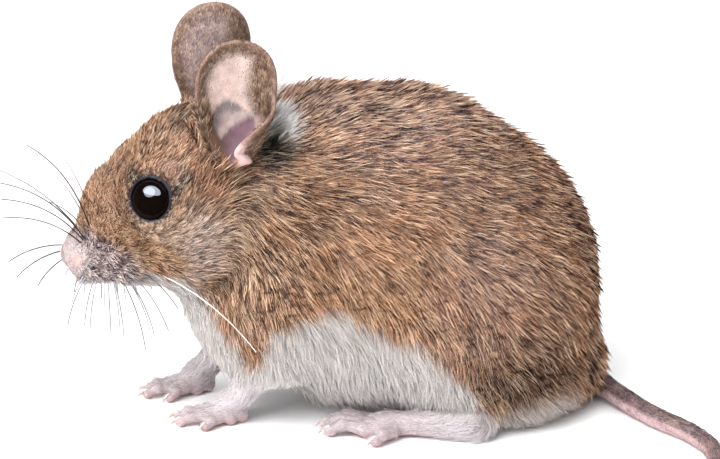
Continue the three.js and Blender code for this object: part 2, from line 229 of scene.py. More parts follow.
def new_group(name: str, **inputs: str) -> tuple[Tree, Any]:
    """Makes a Geometry Nodes group that takes geometry, a material and further inputs.

    Args:
        name: the group's name.
        inputs: the type of each further input, by its name.

    Returns:
        The group, and what it is given as the outputs of its input node.
    """
    tree = bpy.data.node_groups.new(name, "GeometryNodeTree")
    tree.interface.new_socket(name="Geometry", in_out="OUTPUT", socket_type="NodeSocketGeometry")
    for key, kind in {"Geometry": "Geometry", **inputs, "Material": "Material"}.items():
        tree.interface.new_socket(name=key, in_out="INPUT", socket_type="NodeSocket" + kind)
    return tree, add_node(tree, "NodeGroupInput").outputs


def run_group(
    ground: Object, tree: Tree, name: str, drop: Sequence[str], **values: Any,
) -> Object:
    """Runs a node group on an object.

    Args:
        ground: the object it runs on, which is used up.
        tree: the node group.
        name: the new object's name.
        drop: the attributes that only the group needed.
        values: the group's inputs, by name.

    Returns:
        The result as a plain mesh object.
    """
    modifier = ground.modifiers.new("nodes", "NODES")
    modifier.node_group = tree
    for socket in tree.interface.items_tree:
        if socket.name in values:
            modifier[socket.identifier] = values[socket.name]
    made = frozen_mesh(ground, name)
    for key in drop:
        if key in made.data.attributes:
            made.data.attributes.remove(made.data.attributes[key])
    return made


def put_attribute(mesh: bpy.types.Mesh, name: str, values: Array) -> None:
    """Stores one value per vertex: a number, a vector or a colour, by the row's width.

    Args:
        mesh: the mesh that gets it.
        name: the attribute's name.
        values: a row for each vertex.
    """
    values = np.asarray(values, F32)
    width = 1 if values.ndim == 1 else values.shape[1]
    kind, key = {
        1: ("FLOAT", "value"), 2: ("FLOAT2", "vector"), 3: ("FLOAT_VECTOR", "vector"), 4: ("FLOAT_COLOR", "color"),
    }[width]
    mesh.attributes.new(name, kind, "POINT").data.foreach_set(key, values.ravel())


def dress(piece: Object) -> Object:
    """Fixes a finished piece to the body."""
    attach(piece, "root")
    LOG.info("%s: %d faces", piece.name, len(piece.data.polygons))
    return piece


# ---- soft shapes


def fuse(a: Array, b: Array, k: float) -> Array:
    """The smooth union of two distance fields over a width k."""
    near = np.maximum(k - np.abs(a - b), 0.0) / k
    return np.minimum(a, b) - near * near * (k * 0.25)


def carve(a: Array, b: Array, k: float) -> Array:
    """Field a with the shape of field b taken out, smooth over a width k."""
    return -fuse(-a, b, k)


def corners(low: Array, high: Array, paired: bool) -> tuple[Array, Array]:
    """The lowest and highest corner round a shape, or round it and its mirror image."""
    if paired:
        low[1], high[1] = min(low[1], -high[1]), max(high[1], -low[1])
    return low, high


@dataclass(frozen=True)
class Lobe:
    """An ellipsoid of flesh, turned nose up by its pitch in degrees."""

    centre: Vec3
    radii: Vec3
    pitch: float = 0.0
    paired: bool = False

    def reach(self) -> tuple[Array, Array]:
        """The lowest and highest corner of the shape, both of a pair."""
        size = max(self.radii) if self.pitch else np.array(self.radii)
        return corners(np.array(self.centre) - size, np.array(self.centre) + size, self.paired)

    def field(self, p: Array) -> Array:
        """The distance to the surface, below 0 inside."""
        q = (mirrored(p) if self.paired else p) - F32(self.centre)
        if self.pitch:
            c, s = math.cos(math.radians(self.pitch)), math.sin(math.radians(self.pitch))
            q = np.stack((q[:, 0] * c + q[:, 2] * s, q[:, 1], q[:, 2] * c - q[:, 0] * s), 1)
        q = q / F32(self.radii)
        near = norms(q)
        steep = norms(q / F32(self.radii))
        return near * (near - 1) / np.maximum(steep, 1e-5)


@dataclass(frozen=True)
class Rod:
    """A rod with round ends that tapers from one radius to another."""

    start: Vec3
    end: Vec3
    thick: float
    thin: float
    paired: bool = False

    def reach(self) -> tuple[Array, Array]:
        """The lowest and highest corner of the shape, both of a pair."""
        ends, size = np.array((self.start, self.end)), max(self.thick, self.thin)
        return corners(ends.min(0) - size, ends.max(0) + size, self.paired)

    def field(self, p: Array) -> Array:
        """The distance to the surface, below 0 inside."""
        q = (mirrored(p) if self.paired else p) - F32(self.start)
        axis = F32(self.end) - F32(self.start)
        t = np.clip(q @ axis / max(float(axis @ axis), 1e-9), 0, 1)
        return norms(q - t[:, None] * axis) - (self.thick + (self.thin - self.thick) * t)


def flesh(p: Array, k: float, shapes: Sequence[Lobe | Rod], far: float = 9.0) -> Array:
    """Fuses several shapes, each worked out only near itself.

    Args:
        p: points in the body frame, in mm.
        k: the width of the blend.
        shapes: what is fused, in order.
        far: the distance that stands for anything further away.

    Returns:
        The distance field at the points.
    """
    out = np.full(len(p), far, F32)
    for shape in shapes:
        low, high = shape.reach()
        near = np.all((p > F32(low - 5)) & (p < F32(high + 5)), axis=1)
        if near.any():
            out[near] = fuse(out[near], shape.field(p[near]), k)
    return out


def smooth_path(stations: Sequence[Vec3], count: int) -> Array:
    """Points evenly placed along a Catmull-Rom curve through the stations.

    Args:
        stations: the points that the curve passes.
        count: the number of points made.

    Returns:
        The points, with the curve's share of the way in the last column.
    """
    s = np.array(stations, float)
    s = np.vstack((2 * s[0] - s[1], s, 2 * s[-1] - s[-2]))
    made = []
    for i in range(1, len(s) - 2):
        t = np.linspace(0, 1, 40, endpoint=False)[:, None]
        a, b, c, d = s[i - 1 : i + 3]
        made.append(0.5 * (2 * b + (c - a) * t + (2 * a - 5 * b + 4 * c - d) * t**2 + (3 * b - a - 3 * c + d) * t**3))
    line = np.vstack(made + [s[-2:-1]])
    way = np.concatenate(([0], np.cumsum(norms(np.diff(line, axis=0)))))
    goal = np.linspace(0, way[-1], count)
    return np.column_stack([np.interp(goal, way, line[:, i]) for i in range(3)] + [goal / way[-1]])


# ---- the body's parts


@dataclass(frozen=True)
class Torso:
    """Trunk, rump, neck and chest under the coat."""

    blend: float = 4.0
    coat: float = 1.9
    belly_coat: float = 1.2
    shapes: tuple[Lobe | Rod, ...] = (
        Lobe((3.5, 0, 20.2), (20.8, 15.4, 21.15)),
        Lobe((15.2, 0, 14.7), (15.1, 14, 19.4)),
        Lobe((16.5, 0, 5), (13.9, 14.6, 8.2)),
        Lobe((-6, 0, 23.5), (13, 11.6, 17.4), -12),
        Lobe((-12.5, 0, 13.5), (7, 6.6, 7.2)),
        Rod((-19, 0, 29), (-7, 0, 28), 8.2, 12.2),
        Rod((-23, 0, 21.8), (-14.4, 0, 13.8), 2.9, 5.4),
        Lobe((13.4, -8.8, 14), (13.2, 8, 13.4), paired=True),
        Lobe((-9.5, -5.6, 16.5), (6.6, 6.2, 10.5), -18, paired=True),
    )

    def field(self, p: Array) -> Array:
        """The skin's distance field, a coat's depth inside the solids."""
        depth = self.belly_coat + (self.coat - self.belly_coat) * ramp(p[:, 2], 5, 17)
        depth = depth - 0.8 * ramp(-p[:, 0], 15, 24) - 1.0 * ramp(-p[:, 0], 13, 17) * ramp(-p[:, 2], -22, -16)
        depth = np.maximum(depth, 0.25)
        return flesh(p, self.blend, self.shapes) + depth

    def lie(self, p: Array) -> Array:
        """The way the hair lies: back along the spine, and down the flanks."""
        low = ramp(-p[:, 2], -37, -11)
        back = ramp(p[:, 0], 4, 20)
        fall = 0.12 + low * (1.75 - 0.75 * back) + 2.5 * ramp(-p[:, 2], -18, -9) * (1 - ramp(p[:, 0], 10, 17))
        return np.stack((np.ones(len(p)), np.zeros(len(p)), -fall), 1)


@dataclass(frozen=True)
class Head:
    """Skull, snout, cheeks and ear roots, with the eye sockets and the nose."""

    blend: float = 2.5
    nose: Vec3 = (-35.8, 0.0, 21.4)
    nostril: Vec3 = (-34.4, -2.4, 21.6)
    eye: Vec3 = EYE_PLACE
    eye_radius: float = 2.68
    eye_axis: Vec3 = (-0.49, -0.83, 0.27)
    lid_angle: float = 64.0
    lid: float = 0.17
    coat: float = 1.0
    shapes: tuple[Lobe | Rod, ...] = (
        Lobe((-20.2, 0, 30.2), (9.3, 8.4, 9.1)),
        Lobe((-26.9, 0, 26.4), (7.2, 6.2, 7.5)),
        Rod((-28, 0, 23.8), (-33.4, 0, 22), 4.9, 2.8),
        Lobe((-27, 0, 20.8), (6.4, 4.2, 3.2)),
        Lobe((-21.6, -3.8, 24.6), (6, 5, 6), paired=True),
        Lobe((-25.4, -3.7, 29.8), (4.4, 3.2, 3.8), paired=True),
        Rod((-18, -5.4, 35.2), (-20.4, -5.6, 38), 2.5, 1.2, paired=True),
    )
    pads: tuple[Lobe | Rod, ...] = (
        Lobe((-32.6, -1.5, 21.2), (3.0, 2.3, 2.4), 15, paired=True),
        Lobe((-35.2, 0, 21.5), (0.95, 1.1, 1.0)),
        Lobe((-35.3, -0.6, 21.6), (0.85, 0.7, 0.75), paired=True),
        Lobe((-32.3, 0, 19.0), (2.4, 1.6, 1.0), 14),
    )
    clefts: tuple[Lobe | Rod, ...] = (
        Lobe((-36.2, 0, 20.5), (0.7, 0.12, 1.4)),
        Rod((-36.1, -0.62, 21.6), (-35.5, -1.15, 21.95), 0.2, 0.1, paired=True),
        Rod((-34.9, 0, 19.4), (-32.9, -1.6, 18.9), 0.14, 0.1, paired=True),
        Rod((-32.9, -1.6, 18.9), (-30.3, -2.9, 19.3), 0.1, 0.08, paired=True),
    )

    def axis(self) -> Array:
        """The left eye's outward direction."""
        return unit(np.array(self.eye_axis, F32))

    def depth(self, p: Array) -> Array:
        """The coat's depth over the head: almost none on the nose, deepest on the crown."""
        away = norms(p - F32(self.nose))
        return 0.1 + (self.coat - 0.1) * ramp(away, 1.5, 15)

    def field(self, p: Array) -> Array:
        """The skin's distance field, before the sockets are cut."""
        depth = self.depth(p)
        skin = flesh(p, self.blend, self.shapes) + depth
        skin = fuse(skin, flesh(p, 0.5, self.pads) + 0.06, 0.9)
        return carve(skin, flesh(p, 0.15, self.clefts), 0.25)

    def sockets(self, p: Array, skin: Array) -> Array:
        """Cuts the sockets and adds a rolled lid round each eye.

        Args:
            p: points in the body frame.
            skin: the field of the whole body there.

        Returns:
            The field with sockets and lids.
        """
        out = skin.copy()
        near = norms(mirrored(p) - F32(self.eye)) < 7
        q = mirrored(p[near]) - F32(self.eye)
        ball = norms(q) - (self.eye_radius + 0.03)
        height = q @ self.axis()
        across = norms(q - height[:, None] * self.axis())
        a = math.radians(self.lid_angle)
        ring_radius, ring_height = (self.eye_radius + 0.1) * math.sin(a), (self.eye_radius + 0.1) * math.cos(a)
        lid = np.hypot(across - ring_radius, height - ring_height) - self.lid
        # a low swelling outside the lid, which the short hair grows on
        swell = np.hypot(across - ring_radius - 0.75, (height - ring_height + 0.8) * 0.9) - 0.8
        out[near] = carve(fuse(fuse(out[near], swell, 1.2), lid, 0.35), ball, 0.12)
        return out

    def lie(self, p: Array) -> Array:
        """The way the hair lies: away from the nose, up the brow, and level again on the nape."""
        q = unit(p - F32(self.nose))
        nape = ramp(p[:, 0], -19, -13)
        rise = q[:, 2] * (1 - nape) + 0.9 * ramp(p[:, 2], 22, 31) * (1 - nape) - 0.25 * nape
        return np.stack((q[:, 0], q[:, 1], rise), 1)


@dataclass(frozen=True)
class Ear:
    """A thin cupped shell whose rear margin rolls outwards."""

    side: Side
    centre: Vec3
    height: float = 14.7
    width: float = 8.8
    cup: float = 2.4
    funnel: float = 0.33  # how much wider than its middle the top is, and how much narrower the foot
    roll: float = 1.35
    flap: float = 1.3
    lean: float = 3.0
    splay: float = -0.03
    rim: float = 0.22
    base: float = 0.36

    def spot(self, x: Array, z: Array) -> Array:
        """The place of a point of the unit disc on the shell's middle surface.

        Args:
            x: how far back the point is on the disc.
            z: how high it is.

        Returns:
            Its place in the body frame.
        """
        chord = np.maximum(np.sqrt(np.maximum(1 - z * z, 0)), 0.05)
        height = z * self.height / 2
        width = self.width / 2 * chord * (1 + self.funnel * z)
        angle = math.pi * ramp(-z, -0.3, 0.4) * ramp(width, 0.6, 2.4) + 1e-4
        flap = self.flap * ramp(-z, 0.2, 0.7) * np.minimum(chord * 1.5, 1)
        roll = np.minimum(self.roll, width * 0.42)
        flat = width - roll * np.sin(np.minimum(angle, math.pi / 2))
        reached = x / chord * np.where(x > 0, flat + roll * angle + flap, width)
        turned = np.clip((reached - flat) / roll, 0, angle)
        spare = np.maximum(0, reached - flat - roll * angle)
        along = np.minimum(reached, flat) + roll * np.sin(turned) + np.cos(angle) * spare
        along = along + math.tan(math.radians(self.lean)) * height
        cup = self.cup * (1 - x * x - z * z)
        out = self.splay * height - cup + roll * (1 - np.cos(turned)) + np.sin(angle) * spare
        return np.stack((self.centre[0] + along, self.side.value * (self.centre[1] + out), self.centre[2] + height), -1)

    @cached_property
    def sheet(self) -> tuple[BVHTree, Array]:
        """A search tree of the middle surface, with each face's place on the disc."""
        rings, spokes = 40, 96
        r, t = np.meshgrid(np.linspace(0.0, 0.999, rings), np.arange(spokes) / spokes * 2 * math.pi, indexing="ij")
        x, z = r * np.cos(t), r * np.sin(t)
        points = self.spot(x, z).reshape(-1, 3)
        i, j = np.meshgrid(np.arange(rings - 1), np.arange(spokes), indexing="ij")
        k = (j + 1) % spokes
        ring, outer = i * spokes, (i + 1) * spokes
        quads = np.stack((ring + j, ring + k, outer + k, outer + j), -1).reshape(-1, 4)
        place = np.stack((x.ravel(), z.ravel()), 1)[quads].mean(1)
        return BVHTree.FromPolygons(points.tolist(), quads.tolist()), place

    def reach(self) -> tuple[Array, Array]:
        """The lowest and highest corner round the shell."""
        t = np.linspace(0, 2 * math.pi, 64)
        ring = np.vstack([self.spot(r * np.cos(t), r * np.sin(t)) for r in (0.0, 0.5, 0.999)])
        return ring.min(0), ring.max(0)

    def search(self, p: Array) -> tuple[Array, Array, Array]:
        """Finds the nearest spot of the middle surface for each point.

        Args:
            p: points in the body frame.

        Returns:
            The distance, the place on the unit disc, and 1 on the hollow side or -1 behind.
        """
        tree, place = self.sheet
        distance, facing = np.empty(len(p), F32), np.empty(len(p), F32)
        spots = np.empty((len(p), 2), F32)
        for n, q in enumerate(p.tolist()):
            found, normal, index, away = tree.find_nearest(q)
            distance[n] = away
            spots[n] = place[index]
            facing[n] = (Vector(q) - found).dot(normal) * self.side.value
        return distance, spots, np.sign(facing)

    def field(self, p: Array) -> Array:
        """The distance to the shell's surface.

        Args:
            p: points in the body frame, in mm.

        Returns:
            The distance at each point.
        """
        low, high = self.reach()
        out = np.full(len(p), 9.0, F32)
        near = np.all((p > F32(low - 3)) & (p < F32(high + 3)), axis=1)
        if near.any():
            distance, spots, _ = self.search(p[near])
            thick = self.rim + (self.base - self.rim) * ramp(-spots[:, 1], -0.3, 0.9)
            out[near] = distance - thick
        return out

    def canal(self, p: Array) -> Array:
        """The hollow in front of the shell's foot.

        Args:
            p: points in the body frame, in mm.

        Returns:
            The hollow's distance field.
        """
        s = self.side.value
        x, y, z = self.centre
        return flesh(
            p, 0.5,
            (
                Lobe((x - 0.9, s * y, z - 4.4), (2.5, 2.1, 2.2), 20),
                Lobe((x - 1.1, s * (y + 0.1), z - 5.9), (1.6, 1.9, 1.5)),
            ),
        )


@dataclass(frozen=True)
class Stance:
    """Where a foot stands, and which way it points."""

    side: Side
    x: float
    y: float
    turn: float

    def place(self, spot: Vec3) -> Vec3:
        """A spot given forwards, outwards and up, in the body frame."""
        t = math.radians(self.turn)
        c, s, k = math.cos(t), math.sin(t), self.side.value
        return (self.x - c * spot[0] - s * spot[1], self.y - k * s * spot[0] + k * c * spot[1], spot[2])

    def heading(self) -> Array:
        """The way the foot points."""
        t = math.radians(self.turn)
        return np.array((-math.cos(t), -self.side.value * math.sin(t), 0.0))


@dataclass(frozen=True)
class Digit:
    """A toe: its root, knuckle and tip, given forwards, outwards and up."""

    root: Vec3
    knuckle: Vec3
    tip: Vec3
    radius: float
    claw: float

    def shapes(self, stance: Stance) -> tuple[Lobe | Rod, ...]:
        """The toe with its knuckle, end pad and the roll of skin over the claw.

        Args:
            stance: where the foot stands.

        Returns:
            The shapes to fuse.
        """
        root, knuckle, tip = (stance.place(s) for s in (self.root, self.knuckle, self.tip))
        r = self.radius
        ahead = stance.heading() * 0.12
        return (
            Rod(root, knuckle, 1.05 * r, 0.82 * r),
            Rod(knuckle, tip, 0.86 * r, 0.8 * r),
            Lobe(knuckle, (r * 0.98, r * 0.92, r * 0.92)),
            Lobe((tip[0] + ahead[0], tip[1] + ahead[1], tip[2] - 0.02), (r * 1.05, r * 0.95, r * 0.88)),
        )

    def claw_frame(self, stance: Stance) -> tuple[Array, Array]:
        """The claw's root and its heading, from knuckle to tip over the floor.

        Args:
            stance: where the foot stands.

        Returns:
            The root and the unit heading.
        """
        knuckle, tip = (np.array(stance.place(s)) for s in (self.knuckle, self.tip))
        way = tip - knuckle
        way[2] = 0
        way = unit(way)
        return tip + way * 0.42 * self.radius + np.array((0, 0, 0.34)), way


@dataclass(frozen=True)
class Foreleg:
    """A forearm with its wrist, palm and four fingers."""

    stance: Stance
    elbow: Vec3
    coat: float = 0.55
    blend: float = 2.4
    digits: tuple[Digit, ...] = tuple(
        Digit(*spots, 0.64, 0.8)
        for spots in (
            ((4.3, -1.3, 1.1), (5.3, -2, 1.15), (6, -2.5, 0.7)),
            ((5.9, -0.7, 1.1), (7.4, -0.85, 1.3), (8.6, -0.9, 0.7)),
            ((5.9, 0.7, 1.1), (7.3, 0.8, 1.3), (8.4, 0.85, 0.7)),
            ((4.1, 1.3, 1), (4.9, 2, 1.1), (5.5, 2.5, 0.7)),
        )
    )

    def field(self, p: Array) -> Array:
        """The skin's distance field of the whole limb.

        Args:
            p: points in the body frame, in mm.

        Returns:
            The distance at each point.
        """
        at = self.stance.place
        arm = flesh(p, 1.0, (Rod(self.elbow, at((2, 0, 2.9)), 3.0, 1.55),)) + self.coat * ramp(p[:, 2], 1.5, 6)
        hand = flesh(
            p, 1.0,
            (
                Lobe(at((4.4, 0, 1.15)), (2.5, 1.9, 1.05)), Lobe(at((1.1, 0, 1.1)), (1.1, 1, 1.2)),
                Rod(at((2, 0, 2.9)), at((4.4, 0, 1.3)), 1.5, 1),
            ),
        )
        pads = flesh(
            p, 0.3,
            (
                Lobe(at((2.4, 0.9, 0.75)), (0.8, 0.6, 0.7)), Lobe(at((2.5, -0.8, 0.75)), (0.8, 0.6, 0.7)),
                Lobe(at((5.2, 0, 0.6)), (0.7, 0.7, 0.5)),
            ),
        )
        toes = flesh(p, 0.4, [s for d in self.digits for s in d.shapes(self.stance)])
        return fuse(arm, fuse(fuse(hand + 0.12, pads, 0.5), toes + 0.03, 0.5), 0.8)

    def lie(self, p: Array) -> Array:
        """The way the hair lies: down the forearm and out over the foot."""
        foot = ramp(-p[:, 2], -4.5, -2.0)[:, None]
        down = np.array(self.stance.place((2, 0, 2.9))) - np.array(self.elbow)
        return unit(unit(down) * (1 - foot) + self.stance.heading() * foot)


@dataclass(frozen=True)
class Hindleg:
    """A long hind foot with its heel and five toes."""

    stance: Stance
    coat: float = 0.12
    blend: float = 2.0
    digits: tuple[Digit, ...] = tuple(
        Digit(*spots, 0.72, 0.9)
        for spots in (
            ((11.4, -1.8, 1.3), (12.6, -2.8, 1.35), (13.4, -3.4, 0.78)),
            ((15.6, -1.6, 1.3), (17.5, -2.1, 1.5), (19.1, -2.4, 0.78)),
            ((16.2, -0.5, 1.3), (18.3, -0.65, 1.6), (20, -0.8, 0.78)),
            ((15.9, 0.8, 1.3), (17.8, 1, 1.5), (19.4, 1.1, 0.78)),
            ((11.8, 1.9, 1.3), (12.9, 3, 1.35), (13.7, 3.7, 0.78)),
        )
    )

    def field(self, p: Array) -> Array:
        """The skin's distance field of the foot.

        Args:
            p: points in the body frame, in mm.

        Returns:
            The distance at each point.
        """
        at = self.stance.place
        sole = Rod(at((2, 0, 1.85)), at((12.5, 0, 1.5)), 1.95, 1.4)
        foot = flesh(p, 1.6, (sole, Lobe(at((14.2, 0, 1.2)), (3.2, 2.4, 1.15))))
        spots = ((12.6, 1.7, 0.65), (12.2, -1.6, 0.65), (14.9, 1.1, 0.6), (15.1, -1.0, 0.6), (9.6, -0.8, 0.7))
        pads = flesh(p, 0.3, [Lobe(at(s), (0.9, 0.7, 0.6)) for s in spots])
        toes = flesh(p, 0.4, [s for d in self.digits for s in d.shapes(self.stance)])
        return fuse(fuse(foot + self.coat, pads, 0.5), toes + 0.03, 0.6)

    def lie(self, p: Array) -> Array:
        """The way the hair lies: out towards the toes."""
        return np.tile(self.stance.heading(), (len(p), 1))


@dataclass(frozen=True)
class Tail:
    """The long tail, which bends back along the left side on the floor."""

    root_radius: float = 1.5
    tip_radius: float = 0.5
    taper: float = 1.2
    blend: float = 2.2
    stations: tuple[Vec3, ...] = (
        (24, 0.4, 3.2), (28.6, -1.6, 1.9), (30.9, -7.4, 1.5), (33.4, -13.8, 1.35), (36.9, -19.8, 1.2),
        (38.1, -25.5, 1.12), (36, -32.4, 1.03), (30.2, -37.4, 0.92), (22, -39.6, 0.82), (12, -39, 0.73),
        (2.5, -36.2, 0.65), (-7.5, -33.4, 0.55),
    )

    @cached_property
    def line(self) -> Array:
        """Points along the tail's middle, with the share of the way."""
        return smooth_path(self.stations, 240)

    def radius(self, u: Array) -> Array:
        """The tail's radius at a share of the way."""
        return self.tip_radius + (self.root_radius - self.tip_radius) * (1 - u) ** self.taper

    def nearest(self, p: Array) -> tuple[Array, Array]:
        """The distance from the tail's middle and the share of the way there.

        Args:
            p: points in the body frame, in mm.

        Returns:
            The distance, at most 9, and the share.
        """
        line = self.line.astype(F32)
        away, share = np.full(len(p), 9.0, F32), np.zeros(len(p), F32)
        for i in range(0, len(line) - 1, 12):
            part = line[i : i + 13]
            low, high = part[:, :3].min(0) - 5, part[:, :3].max(0) + 5
            near = np.flatnonzero(np.all((p > low) & (p < high), axis=1))
            if not len(near):
                continue
            q = p[near]
            for a, b in zip(part[:-1], part[1:]):
                axis = b[:3] - a[:3]
                t = np.clip((q - a[:3]) @ axis / (axis @ axis), 0, 1)
                d = norms(q - a[:3] - t[:, None] * axis)
                closer = d < away[near]
                away[near[closer]] = d[closer]
                share[near[closer]] = (a[3] + (b[3] - a[3]) * t)[closer]
        return away, share

    def field(self, p: Array) -> Array:
        """The distance to the tail's skin."""
        away, share = self.nearest(p)
        return away - (self.radius(share) - 0.06)

    def lie(self, p: Array) -> Array:
        """The way the hair lies: towards the tip."""
        _, share = self.nearest(p.astype(F32))
        line = self.line
        way = np.gradient(line[:, :3], axis=0)
        return unit(np.column_stack([np.interp(share, line[:, 3], way[:, i]) for i in range(3)]))


@dataclass(frozen=True)
class Body:
    """All of the flesh, and what each part of it is."""

    torso: Torso = Torso()
    head: Head = Head()
    ears: tuple[Ear, ...] = (Ear(Side.LEFT, (-16.1, 8.0, 41.9)), Ear(Side.RIGHT, (-17.0, 8.0, 42.3)))
    forelegs: tuple[Foreleg, ...] = (
        Foreleg(Stance(Side.LEFT, -14.4, -4.4, 5), (-12, -5.6, 9)),
        Foreleg(Stance(Side.RIGHT, -17.3, 5.7, 0), (-13.4, 6.4, 9.2)),
    )
    hindlegs: tuple[Hindleg, ...] = (
        Hindleg(Stance(Side.LEFT, 13.6, -14.5, 15)), Hindleg(Stance(Side.RIGHT, 13.6, 14.5, 15)),
    )
    tail: Tail = Tail()

    def parts(self) -> list[tuple[Part, Any]]:
        """Each part with what it is."""
        return (
            [(Part.TORSO, self.torso), (Part.HEAD, self.head)]
            + [(Part.FORELEG, leg) for leg in self.forelegs]
            + [(Part.HINDLEG, leg) for leg in self.hindlegs]
            + [(Part.TAIL, self.tail)]
            + [(Part.EAR, ear) for ear in self.ears]
        )

    def field(self, p: Array) -> Array:
        """The distance field of the whole skin.

        Args:
            p: points in the body frame, in mm.

        Returns:
            The distance at each point.
        """
        p = p.astype(F32)
        out = fuse(self.torso.field(p), self.head.field(p), 4.0)
        for leg in self.forelegs + self.hindlegs:
            out = fuse(out, leg.field(p), leg.blend)
        out = fuse(out, self.tail.field(p), self.tail.blend)
        out = self.head.sockets(p, out)
        for ear in self.ears:
            out = fuse(carve(out, ear.canal(p), 0.2), ear.field(p), 0.6)
        return np.maximum(out, 0.02 - p[:, 2])


# ---- the skin's mesh


@dataclass
class SkinMesher:
    """Wraps a distance field in a mesh, worked out only near its surface."""

    body: Body
    step: float = 0.2
    low: Vec3 = (-38.5, -41.5, -0.6)
    high: Vec3 = (41.0, 18.5, 51.0)

    def blocks(self, corners: Array, size: int, reach: float) -> Array:
        """The corners of the blocks whose middle lies within reach of the surface."""
        middle = np.array(self.low) + (corners + size / 2) * self.step
        return corners[np.abs(self.body.field(middle)) < reach]

    @staticmethod
    def split(corners: Array, size: int, parts: int) -> Array:
        """The corners of the smaller blocks in each block."""
        steps = np.arange(parts) * (size // parts)
        inner = np.stack(np.meshgrid(steps, steps, steps, indexing="ij"), -1).reshape(-1, 3)
        return (corners[:, None] + inner[None]).reshape(-1, 3)

    def wrap(self) -> tuple[Array, Array]:
        """Makes the wrapping mesh.

        Returns:
            The vertices in mm in the body frame, and the quads.
        """
        shape = np.ceil((np.array(self.high) - np.array(self.low)) / self.step / 8).astype(int) * 8 + 8
        grid = np.stack(np.meshgrid(*[np.arange(0, n - 8, 8) for n in shape], indexing="ij"), -1).reshape(-1, 3)
        blocks = self.blocks(grid, 8, 1.7 + 7.5 * self.step)
        blocks = self.blocks(self.split(blocks, 8, 2), 4, 0.45 + 3.6 * self.step)
        points = self.split(blocks, 4, 4)
        jump = np.array((shape[1] * shape[2], shape[2], 1))
        flat = points @ jump
        values = np.full(int(np.prod(shape)), np.nan, F32)
        for some in np.array_split(np.arange(len(flat)), max(1, len(flat) // 400000)):
            values[flat[some]] = self.body.field(np.array(self.low) + points[some] * self.step)
        corners = np.array([(i, j, k) for i in (0, 1) for j in (0, 1) for k in (0, 1)])
        around = values[flat[:, None] + corners @ jump]
        live = np.isfinite(around).all(1) & (around < 0).any(1) & (around >= 0).any(1)
        cells, cell, around = flat[live], points[live], around[live]
        total, count = np.zeros((len(cells), 3)), np.zeros(len(cells))
        for a in range(8):
            for b in range(a + 1, 8):
                if np.abs(corners[a] - corners[b]).sum() != 1:
                    continue
                cross = (around[:, a] < 0) != (around[:, b] < 0)
                t = around[cross, a] / (around[cross, a] - around[cross, b])
                total[cross] += corners[a] + t[:, None] * (corners[b] - corners[a])
                count[cross] += 1
        vertices = np.array(self.low) + (cell + total / count[:, None]) * self.step
        number = np.full(len(values), -1, np.int32)
        number[cells] = np.arange(len(cells))
        quads = []
        for axis, corner in ((0, 4), (1, 2), (2, 1)):
            b, c = jump[(axis + 1) % 3], jump[(axis + 2) % 3]
            inside = around[:, 0] < 0
            cross = inside != (around[:, corner] < 0)
            home = cells[cross]
            ring = np.stack((number[home], number[home - b], number[home - b - c], number[home - c]), 1)
            flip = ~inside[cross]
            ring[flip] = ring[flip][:, ::-1]
            quads.append(ring[(ring >= 0).all(1)])
        return vertices, np.vstack(quads)

    def settle(self, points: Array, quads: Array, rounds: int = 2) -> Array:
        """Evens the vertices out and puts them back on the surface.

        Args:
            points: the vertices.
            quads: the faces.
            rounds: how often.

        Returns:
            The moved vertices.
        """
        edges = np.vstack((quads[:, :2], quads[:, 1:3], quads[:, 2:], quads[:, ::3]))
        count = np.bincount(edges.ravel(), minlength=len(points))
        for _ in range(rounds):
            total = np.zeros_like(points)
            for axis in range(3):
                total[:, axis] = np.bincount(edges[:, 0], points[edges[:, 1], axis], len(points))
                total[:, axis] += np.bincount(edges[:, 1], points[edges[:, 0], axis], len(points))
            points = points * 0.4 + 0.6 * total / count[:, None]
            here, tiny = self.body.field(points), 0.03
            slope = np.stack([self.body.field(points + tiny * np.eye(3)[i]) - here for i in range(3)], 1) / tiny
            steep = np.maximum((slope**2).sum(1, keepdims=True), 0.3)
            points = points - np.clip(here[:, None] * slope / steep, -0.12, 0.12)
        return points


# ---- colour zones and hair


@dataclass(frozen=True)
class Zone:
    """A soft patch of colour on the body."""

    centre: Vec3
    radii: Vec3
    tone: str
    strength: float = 1.0
    edge: float = 0.4
    plain: float = 0.0  # how much less its hairs differ in shade; below 0 they differ more
    paired: bool = True

    def weight(self, p: Array) -> Array:
        """How much of this colour a point takes."""
        q = mirrored(p) if self.paired else p
        away = norms((q - np.array(self.centre)) / np.array(self.radii))
        return self.strength * (1 - ramp(away, 1 - self.edge, 1 + self.edge))


